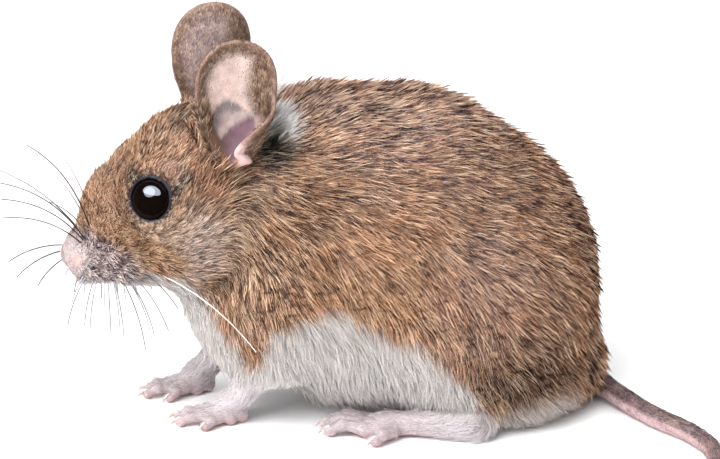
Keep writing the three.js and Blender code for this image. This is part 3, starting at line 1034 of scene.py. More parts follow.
@dataclass(frozen=True)
class Markings:
    """The coat's colours: brown above, white below, with darker and warmer patches, a few of which paint light and
    shade.
    """

    back: str = "#cc9e80"
    white: str = "#dfdad7"
    border: tuple[tuple[float, float], ...] = (
        (-37, 19.6), (-33, 19.8), (-30, 20.2), (-26, 20.8), (-22, 19.3), (-20, 17.6), (-18, 15), (-16.2, 12.2),
        (-15, 10), (-14, 11.2), (-13, 15.6), (-9.5, 17.6), (-6, 18.9), (-2.6, 17.6), (0, 16), (3.5, 14.6),
        (7, 12.6), (10, 8.8), (12, 4.8), (13.2, 2.2), (18, 1.4), (30, 0.8),
    )  # x and z along the left side
    brown_zones: tuple[Zone, ...] = (
        # the top of the back, lighter and greyer: partly a greyer coat, partly painted light and sheen from above
        Zone((2, 0, 38), (20, 8, 10), "#cbada2", 0.85, 0.5),
        Zone((22, 0, 21), (9, 9, 14), "#8a6255", 0.85, 0.5),
        Zone((-2, -12, 22), (10, 6, 10), "#d8a276", 0.8, 0.5),
        Zone((10, -15, 19), (6, 5, 7), "#c69780", 0.75, 0.5),
        # low on the haunch, darker and redder: partly a redder coat, partly painted shade
        Zone((16.5, -12.5, 9), (6, 6, 4.5), "#69432f", 0.9, 0.5),
        Zone((-12, -9, 30), (6, 5, 6), "#b98b66", 0.85, 0.5),
        Zone((-16.5, -8.2, 31), (1.8, 2.6, 4.5), "#86664e", 0.6, 0.5),
        Zone((-17.9, -7.5, 22.8), (0.9, 1.6, 1.5), "#241812", 0.9, 0.4),
        # the cheek, painted lighter: painted light over a face that turns down into shade
        Zone((-22, -7, 24), (6, 4, 5), "#eed9ca", 0.8, 0.5),
        Zone((-15, -8, 22), (5, 5, 6), "#d2af94", 0.7, 0.6),
        Zone((-29, -3, 26), (4, 4, 3.5), "#b28c74", 0.85, 0.6),
        Zone((-27, 0, 33), (6, 5, 5), "#bf9a80", 0.75, 0.6),
        Zone((-25.6, -6.0, 22.6), (3.0, 3.2, 2.4), "#b98f68", 0.7, 0.5),
        Zone((-25.2, -6.6, 26.6), (3.8, 2.6, 1.9), "#ffdcb8", 0.85, 0.5),
        Zone((-28.8, -5.0, 25.4), (2.2, 2.2, 1.7), "#b07c50", 0.75, 0.5),
        Zone((-22.8, -7.2, 31.7), (1.6, 2.0, 1.1), "#3a2a22", 0.95, 0.4),
        Zone((-28.6, -5.3, 32.7), (1.2, 1.5, 0.9), "#3a2a22", 0.9, 0.45),
    )
    # the white tuft behind each ear
    ear_tuft: Zone = Zone((-11.8, -4.6, 37.0), (2.1, 3.0, 2.7), "#ffffff", 1.0, 0.3, 0.7)
    late_zones: tuple[Zone, ...] = (
        Zone((-12.8, -6.6, 35.0), (1.9, 2.2, 2.0), "#1d1613", 0.95, 0.35, 0.3),
        Zone((-22.0, -2.5, 38.2), (2.2, 3.0, 1.7), "#6b5546", 0.75, 0.5),
        Zone((-33.0, -1.5, 20.8), (5.4, 6.0, 4.2), "#dbc6c5", 1.0, 0.25, -0.18),
        Zone((-31.5, -2.5, 18.2), (4.6, 4.5, 1.7), "#f2eae9", 0.9, 0.4, 0.5),
        Zone((-35.2, -1.2, 21.8), (2.3, 2.6, 2.4), "#f1e4e3", 0.95, 0.35, 0.6),
        Zone((25.2, -9.0, 8.0), (1.7, 2.4, 1.6), "#2c2625", 0.95, 0.45, 0.3),
        Zone((18, -11, 3.2), (7, 6, 3.2), "#dcd5cf", 0.9, 0.35, 0.6),
    )

    def white_share(self, p: Array, n: Array) -> Array:
        """How white the coat is: below the border line, and all over the underside."""
        x, z = np.array(self.border).T
        wave = 0.5 * np.sin(p[:, 0] * 2.1 + 1.3 * p[:, 2]) + 0.35 * np.sin(p[:, 0] * 4.7 - p[:, 1] * 3.1)
        side = ramp(np.interp(p[:, 0], x, z) - p[:, 2] + wave, -0.8, 0.8)
        under = ramp(-n[:, 2], 0.45, 0.75) * ramp(-p[:, 2], -14, -9)
        return np.maximum(side, under)

    def colours(self, p: Array, n: Array) -> tuple[Array, Array]:
        """The coat's colour at each point.

        Args:
            p: points on the skin, in the body frame.
            n: the skin's normals there.

        Returns:
            Linear RGB, and how strongly single hairs differ in shade.
        """
        colour = np.tile(linear(self.back)[:3], (len(p), 1))
        for zone in self.brown_zones:
            blend(colour, zone.tone, zone.weight(p))
        white = self.white_share(p, n)
        blend(colour, self.white, white)
        ticking = 1 - 0.68 * white
        for zone in (self.ear_tuft, *self.late_zones):
            weight = zone.weight(p)
            blend(colour, zone.tone, weight)
            ticking += (1 - zone.plain - ticking) * weight
        return colour, ticking * (1 - 0.1 * ramp(-p[:, 0], 13, 17))


@dataclass
class Grooming:
    """Works out, for each vertex of the skin, its colours and the hair that grows there."""

    body: Body
    markings: Markings
    points: Array
    normals: Array
    values: dict[str, Array] = field(default_factory=dict)

    def share(self, part: Part) -> Array:
        """How much each vertex belongs to one kind of part."""
        return self.values["share"][[i for i, (k, _) in enumerate(self.body.parts()) if k is part]].sum(0)

    def by_eye(self) -> tuple[Array, Array, Array]:
        """Each vertex seen from its own eye: the offset, the height along the eye's axis and the distance from it."""
        q = mirrored(self.points) - np.array(self.body.head.eye)
        height = q @ self.body.head.axis()
        return q, height, norms(q - height[:, None] * self.body.head.axis())

    def survey(self) -> None:
        """Finds each vertex's part and fills in every value the coat and skin need."""
        p, n = self.points, self.normals
        parts = self.body.parts()
        away = np.stack([part.field(p.astype(F32)) for _, part in parts])
        nearest = away.argmin(0)
        kind = np.array([k.value for k, _ in parts])[nearest]
        share = np.exp(-(away - away.min(0)) / 0.7)
        share /= share.sum(0)
        lie = np.zeros_like(p)
        for i, (k, part) in enumerate(parts):
            if k is Part.EAR:
                continue
            some = share[i] > 0.01
            if some.any():
                lie[some] += share[i][some, None] * part.lie(p[some])
        ear, cupped = np.zeros(len(p), bool), np.zeros(len(p), bool)
        disc, facing = np.zeros((len(p), 2)), np.zeros(len(p))
        for i, (k, part) in enumerate(parts):
            if k is Part.EAR:
                some = np.flatnonzero(away[i] < 3.2)
                _, spots, faced = part.search(p[some])
                cupped[some] = (faced > 0) & (norms(spots) < 0.93)
                on = away[i][some] < 0.35
                disc[some[on]], facing[some[on]] = spots[on], faced[on]
                ear[some[on]] = True
        lie[ear] = (0.15, 0, 1)
        swirl = 0.14 * np.sin(p[:, 0] * 0.55 + 2 * np.sin(p[:, 2] * 0.31))
        swirl += 0.12 * np.sin(p[:, 2] * 1.1 + p[:, 0] * 0.7 + p[:, 1])
        flat = unit(lie - n * (lie * n).sum(1, keepdims=True))
        side = np.cross(n, flat)
        turn = np.where(kind <= Part.HEAD.value, swirl, 0.4 * swirl)[:, None]
        # the ear's hair is thick along its rear half and its margin
        edge = 1 - norms(disc)
        rear = ramp(disc[:, 0], 0.18, 0.58) * ramp(disc[:, 1], -0.9, -0.75)
        self.values.update(
            kind=kind, ear=ear, cupped=cupped, disc=disc, facing=facing, share=share, nearest=nearest,
            edge=edge, hairy=np.maximum(rear, 1 - ramp(edge, 0.06, 0.36)),
            lie=unit(flat * np.cos(turn) + side * np.sin(turn)), by_ear=away[[k is Part.EAR for k, _ in parts]].min(0),
        )
        self.grow()
        self.paint()

    def grow(self) -> None:
        """Sets the hair's length, width, lift and density, in mm."""
        p, n, v = self.points, self.normals, self.values
        head, kind = self.body.head, v["kind"]
        away = norms(p - np.array(head.nose))
        length = 0.45 + 1.0 * ramp(away, 2, 11) + 1.45 * ramp(away, 13, 26)
        width = 0.064 + 0.022 * ramp(away, 8, 24)
        lift = np.full(len(p), 0.34)
        pad_middle, pad_size = np.array((-31.4, -4.0, 21.9)), np.array((3.2, 2.5, 2.6))
        pad = 1 - ramp(norms((mirrored(p) - pad_middle) / pad_size), 0.7, 1.2)
        length *= 1 - 0.4 * ramp(p[:, 2], 30, 36) * ramp(-p[:, 0], 15, 18)
        length += pad * 0.5
        width += pad * 0.02
        lift += pad * 0.25 + 0.14 * ramp(p[:, 2], 28, 36) * ramp(-p[:, 0], 15, 18)
        density = 112 - 62 * ramp(away, 12, 24)
        by_ear = v["by_ear"]
        length *= np.maximum(0.4 + 0.6 * ramp(by_ear, 0.3, 2.4), ramp(-p[:, 0], 17.5, 19))
        # length, width, lift and density on the limbs and the tail
        limb = {
            Part.FORELEG: (1.2, 0.07, 0.24, 44), Part.HINDLEG: (0.6, 0.045, 0.22, 18), Part.TAIL: (0.7, 0.05, 0.2, 26),
        }
        for part, sizes in limb.items():
            share = self.share(part)
            for values, size in zip((length, width, lift, density), sizes):
                values += (size - values) * share
        fore = kind == Part.FORELEG.value
        small = fore & (p[:, 2] < 3.2)
        length[small] *= 0.3 + 0.7 * ramp(p[small, 2], 0.8, 3.2)
        width[small] *= 0.7
        density[small] *= 0.3 + 0.5 * ramp(p[small, 2], 1.2, 3.2)
        # the eye's rim, the nose and the soles are bare
        q, height, across = self.by_eye()
        by_eye = (norms(q) < 6.5) & (height > -1.5)
        length *= np.where(by_eye, 0.28 + 0.72 * ramp(across, 2.7, 4.8), 1.0)
        density *= np.where(by_eye, ramp(across, 2.7, 2.9), 1.0)
        density *= ramp(norms(mirrored(p) - np.array(head.nostril)), 0.7, 1.1)
        sole = (p[:, 2] < 1.3) & (n[:, 2] < -0.6) & np.isin(kind, (Part.FORELEG.value, Part.HINDLEG.value))
        density[sole] = 0
        # the ears: short brown hair behind, fine pale hair in the hollow
        ear, disc, edge, hairy = v["ear"], v["disc"], v["edge"], v["hairy"]
        behind, inside = ear & (v["facing"] < 0), ear & (v["facing"] >= 0)
        width[ear], lift[ear] = 0.05, 0.25
        length[behind] = (0.55 + 0.4 * ramp(-disc[:, 1], 0.2, 0.9))[behind]
        density[behind] = (30 + 25 * hairy)[behind]
        length[inside] = (0.3 + 0.45 * hairy)[inside]
        density[inside] = (10 + 50 * hairy)[inside]
        length[ear] *= (0.4 + 0.6 * ramp(edge, 0.0, 0.14))[ear]
        density[ear & (edge < 0.012)] = 0
        density[v["cupped"] & ~ear] = 0
        lip = ear & (edge < 0.05) & (disc[:, 1] < -0.45) & (disc[:, 0] > 0)
        density[lip | (inside & (disc[:, 1] < -0.3) & (edge > 0.12))] = 0
        before = (kind == Part.HEAD.value) & ~ear & (by_ear < 2.4) & (p[:, 0] < -17.5)
        near = p[before, 1] < 0
        lift[before], length[before] = np.where(near, 0.75, 0.4), np.where(near, 2.1, 1.2)
        tuft = self.markings.ear_tuft.weight(p) * ~ear
        length += (2.7 - length) * tuft
        width -= 0.026 * tuft
        lift += 0.4 * tuft
        density += 50 * tuft
        front = ear & (disc[:, 0] < -0.3) & (disc[:, 1] < 0) & (edge < 0.24)
        length[front], lift[front], density[front], width[front] = np.where(p[front, 1] < 0, 1.1, 0.4), 0.45, 62, 0.06
        for part in self.body.ears:
            hollow = part.canal(p.astype(F32)) < np.where(ear, 0.35, 0.9)
            density[hollow & ~behind] = 0
        heel = self.share(Part.HINDLEG) * ramp(p[:, 0], 4, 11) * ~ear
        length += heel * 1.1
        width += heel * 0.02
        density += heel * 22
        v.update(length=length, width=width, lift=lift, density=density)

    def paint(self) -> None:
        """Sets the coat's colour, the skin's colour with some painted light and shade, and the masks for its patterns.
        """
        p, n, v = self.points, self.normals, self.values
        kind, ear, facing, disc, edge = v["kind"], v["ear"], v["facing"], v["disc"], v["edge"]
        coat, ticking = self.markings.colours(p, n)
        skin = coat * 0.45 + 0.02
        fore, hind, tail = (self.share(part) for part in (Part.FORELEG, Part.HINDLEG, Part.TAIL))
        foot = np.maximum(fore * ramp(-p[:, 2], -9.5, -6), hind)
        blend(coat, "#e4dde0", foot)
        blend(skin, "#b0a1a3", foot)
        # painted shade: the feet's skin is darker and pinker close to the floor
        blend(skin, "#b08480", foot * ramp(-p[:, 2], -1.2, -0.5) * 0.6)
        ticking = ticking * (1 - foot * 0.8)
        above = ramp(n[:, 2] + 0.25 * n[:, 0], -0.15, 0.45)
        blend(coat, "#e2d0d1", tail)
        blend(coat, "#5a4a4c", tail * above)
        blend(skin, "#d8b7b9", tail)
        blend(skin, "#6d5759", tail * above * 0.85)
        away = norms(p - np.array(self.body.head.nose))
        blend(skin, "#8f7878", 1 - ramp(away, 4.5, 8.5))
        blend(skin, "#dccbcb", 1 - ramp(away, 2.2, 3.6))
        from_nostril = norms(mirrored(p) - np.array(self.body.head.nostril))
        blend(skin, "#e3a79f", 1 - ramp(from_nostril, 0.7, 1.2))
        q, height, across = self.by_eye()
        lid = (1 - ramp(across, 2.9, 3.2)) * (height > -1.2) * (norms(q) < 4)
        blend(skin, "#171012", lid)
        # painted highlight: a pale violet glint along the lower rim of the lid, as on a wet rim
        rim_glint = (1 - ramp(np.abs(across - 2.75), 0.03, 0.1)) * ramp(-q[:, 2] - 0.5 * q[:, 0], 0.6, 1.8)
        blend(skin, "#8d88a0", lid * rim_glint * 0.8)
        blend(coat, "#4a362c", (1 - ramp(across, 2.9, 3.5)) * (height > -1) * (norms(q) < 4.5) * 0.7)
        behind, inside = (ear & (facing < 0)).astype(float), (ear & (facing >= 0)).astype(float)
        blend(coat, "#b5a49f", behind)
        blend(coat, "#cbbcb6", inside)
        blend(coat, "#a5846f", (behind + inside) * v["hairy"])
        blend(skin, "#957f7a", behind)
        blend(skin, "#d8c1b9", inside)
        # painted shade: grey over the lower part of the ear's hollow side
        blend(skin, "#a38d8b", inside * ramp(-disc[:, 1], 0.1, 0.6) * 0.8)
        blend(skin, "#735a4f", (behind + inside) * v["hairy"] * 0.9)
        blend(skin, "#8d7064", ear * (1 - ramp(edge, 0.02, 0.06)))
        blend(skin, "#c9a79d", ear * (1 - ramp(edge, 0.0, 0.012)) * ramp(disc[:, 1] + 0.3 * disc[:, 0], -0.3, 0.3))
        low_rear = ramp(-disc[:, 1], 0.48, 0.6) * ramp(disc[:, 0], 0.0, 0.2)
        blend(skin, "#cfaeab", ear * (1 - ramp(edge, 0.03, 0.06)) * low_rear)
        # painted shade in the ear's cup: grey, darkest towards the bowl's rim
        shaded_bowl = norms((disc - (-0.18, -0.5)) / (0.56, 0.48))
        blend(skin, "#7d7374", inside * (1 - ramp(shaded_bowl, 0.92, 1.06)) * (0.45 + 0.5 * ramp(shaded_bowl, 0.3, 0.85)))
        # a fold painted on the flat shell: below the ridge, partly the canal's purple skin and partly painted shade;
        # along the ridge, a pale line of painted highlight on its crest
        ridge = disc[:, 1] + 0.42 - 0.42 * disc[:, 0]
        blend(skin, "#6e5058", inside * (1 - ramp(shaded_bowl, 0.9, 1.1)) * (1 - ramp(ridge, -0.06, 0.02)))
        blend(skin, "#c4afaa", inside * (1 - ramp(np.abs(ridge - 0.08), 0.03, 0.12)) * (1 - ramp(shaded_bowl, 0.9, 1.0)) * 0.7)
        front = ear * (1 - ramp(disc[:, 0], -0.4, -0.3)) * (1 - ramp(disc[:, 1], -0.05, 0.0))
        front = front * (1 - ramp(edge, 0.2, 0.26))
        blend(coat, "#a98b73", front)
        blend(skin, "#6d5547", front)
        blend(skin, "#674f5c", v["cupped"] * (1 - ear) * (kind == Part.HEAD.value))
        for part in self.body.ears:
            # partly the hollow's purple skin, partly painted shade that makes it look deep; darkest in its upper part
            hollow = 1 - ramp(part.canal(p.astype(F32)), -0.1, 0.9)
            blend(skin, "#5c4858", hollow * (1 - behind) * (1 - ear) * 0.9)
            blend(skin, "#5a3f3e", hollow * (1 - behind) * (1 - ear) * ramp(p[:, 2], 37.6, 38.6))
        ticking = np.where(ear, 0.75, ticking)
        one = np.ones((len(p), 1))
        _, way = self.body.tail.nearest(p.astype(F32))
        v.update(
            coat=np.hstack((coat, one)), skin=np.hstack((skin, one)), ticking=ticking,
            rings=tail, way=way,
        )


# ---- finishes


def new_material(name: str, values: dict[str, Any]) -> tuple[Material, Tree, Any]:
    """Makes a material.

    Args:
        name: the material's name.
        values: its shader's inputs, by name.

    Returns:
        The material, its node tree and the shader's inputs.
    """
    made = bpy.data.materials.new(name)
    made.use_nodes = True
    inputs = made.node_tree.nodes["Principled BSDF"].inputs
    for key, value in values.items():
        inputs[key].default_value = value
    return made, made.node_tree, inputs


def read_value(tree: Tree, name: str) -> Socket:
    """Adds a node that reads an attribute, as a colour where it is one."""
    made = add_node(tree, "ShaderNodeAttribute", attribute_name=name)
    return made.outputs["Color" if name in ("coat", "skin") else "Fac"]


def mix_colours(tree: Tree, share: Any, a: Any, b: Any, kind: str = "MIX") -> Socket:
    """Adds a node that blends two colours."""
    return add_node(tree, "ShaderNodeMix", {0: share, 6: a, 7: b}, data_type="RGBA", blend_type=kind).outputs[2]


def speckle(tree: Tree, grain: float, first: str, second: str) -> Socket:
    """A colour that wanders between two over grains of a size in mm."""
    place = add_node(tree, "ShaderNodeTexCoord").outputs["Object"]
    noise = result(tree, "ShaderNodeTexNoise", {"Vector": place, "Scale": 1 / (grain * MM), "Detail": 2.0})
    return mix_colours(tree, noise, linear(first), linear(second))


@dataclass(frozen=True)
class CoatFinish:
    """Mouse hair, grown: banded shafts with a faint shine, near black at the root, buff or black towards the tip."""

    name: str = "mouse_hair"
    roughness: float = 0.6
    specular: float = 0.08

    def material(self) -> Material:
        """Builds the material, which reads each tuft's own colour, shade and length.

        Returns:
            The material.
        """
        values = {"Roughness": self.roughness, "Specular IOR Level": self.specular}
        made, tree, inputs = new_material(self.name, values)
        read, mix = partial(read_value, tree), partial(mix_colours, tree)

        def spread(value: Socket, low: float, high: float, start: Any, end: Any) -> Socket:
            """Maps a value from one range to another."""
            return result(tree, "ShaderNodeMapRange", {0: value, 1: low, 2: high, 3: start, 4: end})

        def drift(size: Vec3, detail: float) -> Socket:
            """Noise over the body, with its grain's size in mm."""
            place = add_node(tree, "ShaderNodeTexCoord").outputs["Object"]
            per_grain = tuple(1 / (s * MM) for s in size)
            scaled = result(tree, "ShaderNodeVectorMath", {0: place, 1: per_grain}, operation="MULTIPLY")
            return result(tree, "ShaderNodeTexNoise", {"Vector": scaled, "Scale": 1.0, "Detail": detail})

        coat, shade, ticking = read("coat"), read("shade"), read("ticking")
        warm = spread(drift((4.5, 3.5, 3.5), 1.0), 0.3, 0.7, -0.1, 0.7)
        wander = number(tree, "MULTIPLY_ADD", read("tint"), 0.4, warm)
        clump = mix(wander, (1.12, 0.98, 0.83, 1), (0.96, 1.0, 1.03, 1))
        blue = add_node(tree, "ShaderNodeSeparateColor", {0: coat}).outputs[2]
        base = mix(spread(blue, 0.32, 0.5, ticking, 0.0), coat, mix(1.0, coat, clump, "MULTIPLY"))
        dark = mix(1.0, base, (0.09, 0.08, 0.10, 1), "MULTIPLY")
        cream = mix(spread(blue, 0.32, 0.5, 0.0, 1.0), linear("#fce6c8"), linear("#fffafa"))
        light = mix(0.62, mix(1.0, base, (1.55, 1.5, 1.4, 1), "MULTIPLY"), cream)
        # painted shade: patches of tufts darkened as the dark gaps where the fur parts
        parting_shade = spread(drift((1.6, 1.2, 0.6), 2.0), 0.30, 0.46, spread(ticking, 0.92, 1.12, 0.0, 0.7), 0.0)
        sunk = number(tree, "SUBTRACT", shade, parting_shade)
        shaft = mix(1.0, base, (0.80, 0.76, 0.72, 1), "MULTIPLY")
        low = mix(spread(sunk, 0.27, 0.5, 0.0, 1.0), dark, shaft)
        high = mix(spread(sunk, 0.52, 0.74, 0.0, 1.0), low, light)
        mixed = mix(ticking, base, high)
        root = spread(read("along"), 0.2, 0.8, spread(ticking, 0.0, 1.0, 0.75, 0.15), 1.0)
        tree.links.new(mix(1.0, mixed, root, "MULTIPLY"), inputs["Base Color"])
        return made


@dataclass(frozen=True)
class SkinFinish:
    """Thin living skin: matt, faintly translucent, pink where it is bare and ringed with scales on the tail."""

    name: str = "mouse_skin"
    roughness: float = 0.6
    specular: float = 0.08
    translucence: float = 0.12
    scatter: Vec3 = (1.0, 0.4, 0.25)
    depth: float = 0.6  # mm that light reaches into it
    tail_rings: int = 208  # rings of scales from the tail's root to its tip
    wrinkle: float = 0.28  # mm between the creases of bare skin

    def material(self) -> Material:
        """Builds the material, with creases, mottling and the tail's rings.

        Returns:
            The material.
        """
        values = {
            "Roughness": self.roughness, "Specular IOR Level": self.specular, "Subsurface Weight": self.translucence,
            "Subsurface Radius": self.scatter, "Subsurface Scale": self.depth * MM,
        }
        made, tree, inputs = new_material(self.name, values)
        place = add_node(tree, "ShaderNodeTexCoord").outputs["Object"]
        blotch = result(tree, "ShaderNodeTexNoise", {"Vector": place, "Scale": 1 / (1.3 * MM), "Detail": 4.0})
        vary = result(tree, "ShaderNodeMapRange", {0: blotch, 1: 0.3, 2: 0.7, 3: 0.8, 4: 1.15})
        tree.links.new(mix_colours(tree, 1.0, read_value(tree, "skin"), vary, "MULTIPLY"), inputs["Base Color"])
        cells = {"Vector": place, "Scale": 1 / (self.wrinkle * MM)}
        crease = result(tree, "ShaderNodeTexVoronoi", cells, feature="DISTANCE_TO_EDGE")
        cut = result(tree, "ShaderNodeMapRange", {0: crease, 1: 0.0, 2: 0.12})
        turn = number(tree, "MULTIPLY", read_value(tree, "way"), 2 * math.pi * self.tail_rings)
        ring = number(tree, "MULTIPLY", number(tree, "SINE", turn), read_value(tree, "rings"))
        height = number(tree, "MULTIPLY_ADD", ring, 1.2, cut)
        bump = result(tree, "ShaderNodeBump", {"Strength": 0.35, "Distance": 0.05 * MM, "Height": height})
        tree.links.new(bump, inputs["Normal"])
        return made


@dataclass(frozen=True)
class EyeFinish:
    """A live cornea over a near-black iris: wet, so it mirrors the lamps sharply."""

    name: str = "wet_eye"
    pupil: str = "#060404"
    iris: str = "#120b08"
    grain: float = 0.8
    roughness: float = 0.02
    ior: float = 1.3

    def material(self) -> Material:
        """Builds the material, with a faint brown iris under the clear coat."""
        made, tree, inputs = new_material(self.name, {"Roughness": self.roughness, "IOR": self.ior})
        tree.links.new(speckle(tree, self.grain, self.pupil, self.iris), inputs["Base Color"])
        return made


@dataclass(frozen=True)
class HornFinish:
    """Claw horn and whisker shafts: smooth keratin, coloured along their length."""

    name: str
    root: str
    tip: str
    pale: str = "#f1ece8"
    roughness: float = 0.35

    def material(self) -> Material:
        """Builds the material, which fades from root to tip.

        Returns:
            The material.
        """
        made, tree, inputs = new_material(self.name, {"Roughness": self.roughness})
        base = mix_colours(tree, read_value(tree, "along"), linear(self.root), linear(self.tip))
        colour = mix_colours(tree, read_value(tree, "pale"), base, linear(self.pale))
        tree.links.new(colour, inputs["Base Color"])
        return made


@dataclass(frozen=True)
class FloorFinish:
    """Matt white studio paper."""

    name: str = "studio_paper"
    roughness: float = 0.9

    def material(self) -> Material:
        """Builds the material, with the paper's faint tooth."""
        made, tree, inputs = new_material(self.name, {"Roughness": self.roughness})
        tree.links.new(speckle(tree, 0.9, "#f6f6f6", "#fbfbfb"), inputs["Base Color"])
        return made


# ---- coat


@dataclass(frozen=True)
class ClawShape:
    """The shape of one claw: a closed tapered spindle along x, rising along z."""

    name: str
    rings: tuple[tuple[float, float, float], ...]  # share of the length, height, half width
    sides: int = 8
    flat: float = 4.0

    def build(self) -> Object:
        """Makes the spindle as a mesh 1 long, 1 wide and 1 high, with the share of its length as an attribute.

        Returns:
            The spindle's object.
        """
        points, along = [(0.0, 0.0, 0.0)], [0.0]
        for x, z, r in self.rings:
            for i in range(self.sides):
                a = 2 * math.pi * (i + 0.25) / self.sides
                points.append((x, r * math.cos(a), z + self.flat * r * math.sin(a) * 0.25))
                along.append(x)
        points.append((1.0, 0.0, 1.0))
        along.append(1.0)
        n, last = self.sides, len(points) - 1
        faces: list[tuple[int, ...]] = []
        for i in range(n):
            j = (i + 1) % n
            faces.append((0, 1 + j, 1 + i))
            for k in range(len(self.rings) - 1):
                a, b = 1 + k * n, 1 + (k + 1) * n
                faces.append((a + i, a + j, b + j, b + i))
            top = 1 + (len(self.rings) - 1) * n
            faces.append((top + i, top + j, last))
        made = mesh_object(self.name, np.array(points), faces)
        put_attribute(made.data, "along", np.array(along))
        return made


@dataclass(frozen=True)
class CoatTree:
    """The Geometry Nodes tree that plants tufts on a skin, clumps their tips and lays out their bake patches."""

    name: str = "plant_tufts"
    patch: float = 0.003  # the size of a tuft's bake patch in the unwrap
    floor: float = 0.00002  # m, the lowest that a tuft may reach

    def build(self) -> Tree:
        """Builds the tree.

        Returns:
            The node group, with its named inputs.
        """
        tree, given = new_group(self.name, Tuft="Object", Seed="Int", Spread="Float", Clumps="Float", Pull="Float")
        math_of = partial(number, tree)
        base, vector = given["Geometry"], "FLOAT_VECTOR"

        def named(name: str, kind: str = "FLOAT") -> Socket:
            """Reads an attribute."""
            return result(tree, "GeometryNodeInputNamedAttribute", {"Name": name}, data_type=kind)

        def vector_of(operation: str, inputs: dict[Any, Any]) -> Socket:
            """Works out a vector."""
            return result(tree, "ShaderNodeVectorMath", inputs, operation=operation)

        def random(low: float, high: float, seed: int) -> Socket:
            """A random number for each point."""
            own = {2: low, 3: high, 8: math_of("ADD", given["Seed"], float(seed))}
            return add_node(tree, "FunctionNodeRandomValue", own, data_type="FLOAT").outputs[1]

        def store(
            geometry: Any, name: str, value: Any, kind: str = "FLOAT", domain: str = "POINT",
        ) -> Socket:
            """Keeps a value on the geometry."""
            kept = {"Geometry": geometry, "Name": name, "Value": value}
            return result(tree, "GeometryNodeStoreNamedAttribute", kept, data_type=kind, domain=domain)

        def scatter(density: Any, seed: Any) -> Socket:
            """Strews points over the skin."""
            wanted = {"Mesh": base, "Density": density, "Seed": seed}
            return add_node(tree, "GeometryNodeDistributePointsOnFaces", wanted).outputs["Points"]

        def sample(value: Any, kind: str) -> Socket:
            """Reads a value at the middle of the nearest clump."""
            asked = {"Geometry": sparse, "Value": value, "Index": nearest}
            return result(tree, "GeometryNodeSampleIndex", asked, data_type=kind, domain="POINT")

        planted = scatter(named("density"), given["Seed"])
        sparse = scatter(math_of("MULTIPLY", named("density"), given["Clumps"]), math_of("ADD", given["Seed"], 77.0))
        sparse = store(sparse, "tint", random(0.0, 1.0, 5))
        place = result(tree, "GeometryNodeInputPosition")
        asked = {"Geometry": sparse, "Sample Position": place}
        nearest = result(tree, "GeometryNodeSampleNearest", asked, domain="POINT")
        centre, tint = sample(place, vector), sample(named("tint"), "FLOAT")
        planted = store(planted, "pull", vector_of("SUBTRACT", {0: centre, 1: place}), vector)
        own = random(0.0, 1.0, 11)
        planted = store(planted, "shade", math_of("MULTIPLY_ADD", tint, 0.5, math_of("MULTIPLY", own, 0.5)))
        planted = store(planted, "tint", tint)
        axes = {0: named("up", vector), 1: named("lie", vector)}
        rotation = result(tree, "FunctionNodeAxesToRotation", axes, primary_axis="Z", secondary_axis="X")
        swing = result(tree, "ShaderNodeCombineXYZ", {2: math_of("MULTIPLY", random(-1.0, 1.0, 21), given["Spread"])})
        euler = result(tree, "FunctionNodeEulerToRotation", {0: swing})
        turned = result(tree, "FunctionNodeRotateRotation", {0: rotation, 1: euler}, rotation_space="LOCAL")
        long = math_of("MULTIPLY", named("length"), random(0.65, 1.25, 31))
        guard = math_of("POWER", random(0.0, 1.0, 43), 12.0)
        raised = math_of("MULTIPLY_ADD", guard, 0.8, random(0.55, 1.25, 41))
        high = math_of("MULTIPLY", math_of("MULTIPLY", long, named("lift")), raised)
        wide = math_of("MULTIPLY", named("width"), random(0.6, 1.4, 51))
        wide = math_of("MULTIPLY", wide, math_of("MULTIPLY_ADD", guard, -0.6, 1.0))
        scale = result(tree, "ShaderNodeCombineXYZ", {0: long, 1: wide, 2: high})
        tuft = add_node(tree, "GeometryNodeObjectInfo", {"Object": given["Tuft"]}).outputs["Geometry"]
        rows = {"Points": planted, "Instance": tuft, "Rotation": turned, "Scale": scale}
        strewn = result(tree, "GeometryNodeInstanceOnPoints", rows)
        solid = result(tree, "GeometryNodeRealizeInstances", {0: strewn})
        bent = math_of("MULTIPLY", math_of("POWER", named("along"), 1.6), given["Pull"])
        drawn = vector_of("SCALE", {0: named("pull", vector), 3: bent})
        moved = result(tree, "GeometryNodeSetPosition", {"Geometry": solid, "Offset": drawn})
        x, y, z = add_node(tree, "ShaderNodeSeparateXYZ", {0: place}).outputs
        above = result(tree, "ShaderNodeCombineXYZ", {0: x, 1: y, 2: math_of("MAXIMUM", z, self.floor)})
        moved = result(tree, "GeometryNodeSetPosition", {"Geometry": moved, "Position": above})
        spot = vector_of("MULTIPLY_ADD", {0: named("patch", vector), 1: (self.patch,) * 3, 2: named("unwrap", vector)})
        mapped = store(moved, "OFBake", spot, "FLOAT2", "CORNER")
        shown = result(tree, "GeometryNodeSetMaterial", {"Geometry": mapped, "Material": given["Material"]})
        add_node(tree, "NodeGroupOutput", {0: shown})
        return tree


@dataclass(frozen=True)
class CoatPiece:
    """One patch of the coat, with a slot that nothing here reads."""

    name: str
    slot: Slot
    seed: int
    spread: float = 0.3  # how far a tuft swings from the way the hair lies
    clumps: float = 0.28  # clumps to a tuft
    pull: float = 0.19  # how far the tips draw to the middle of their clump


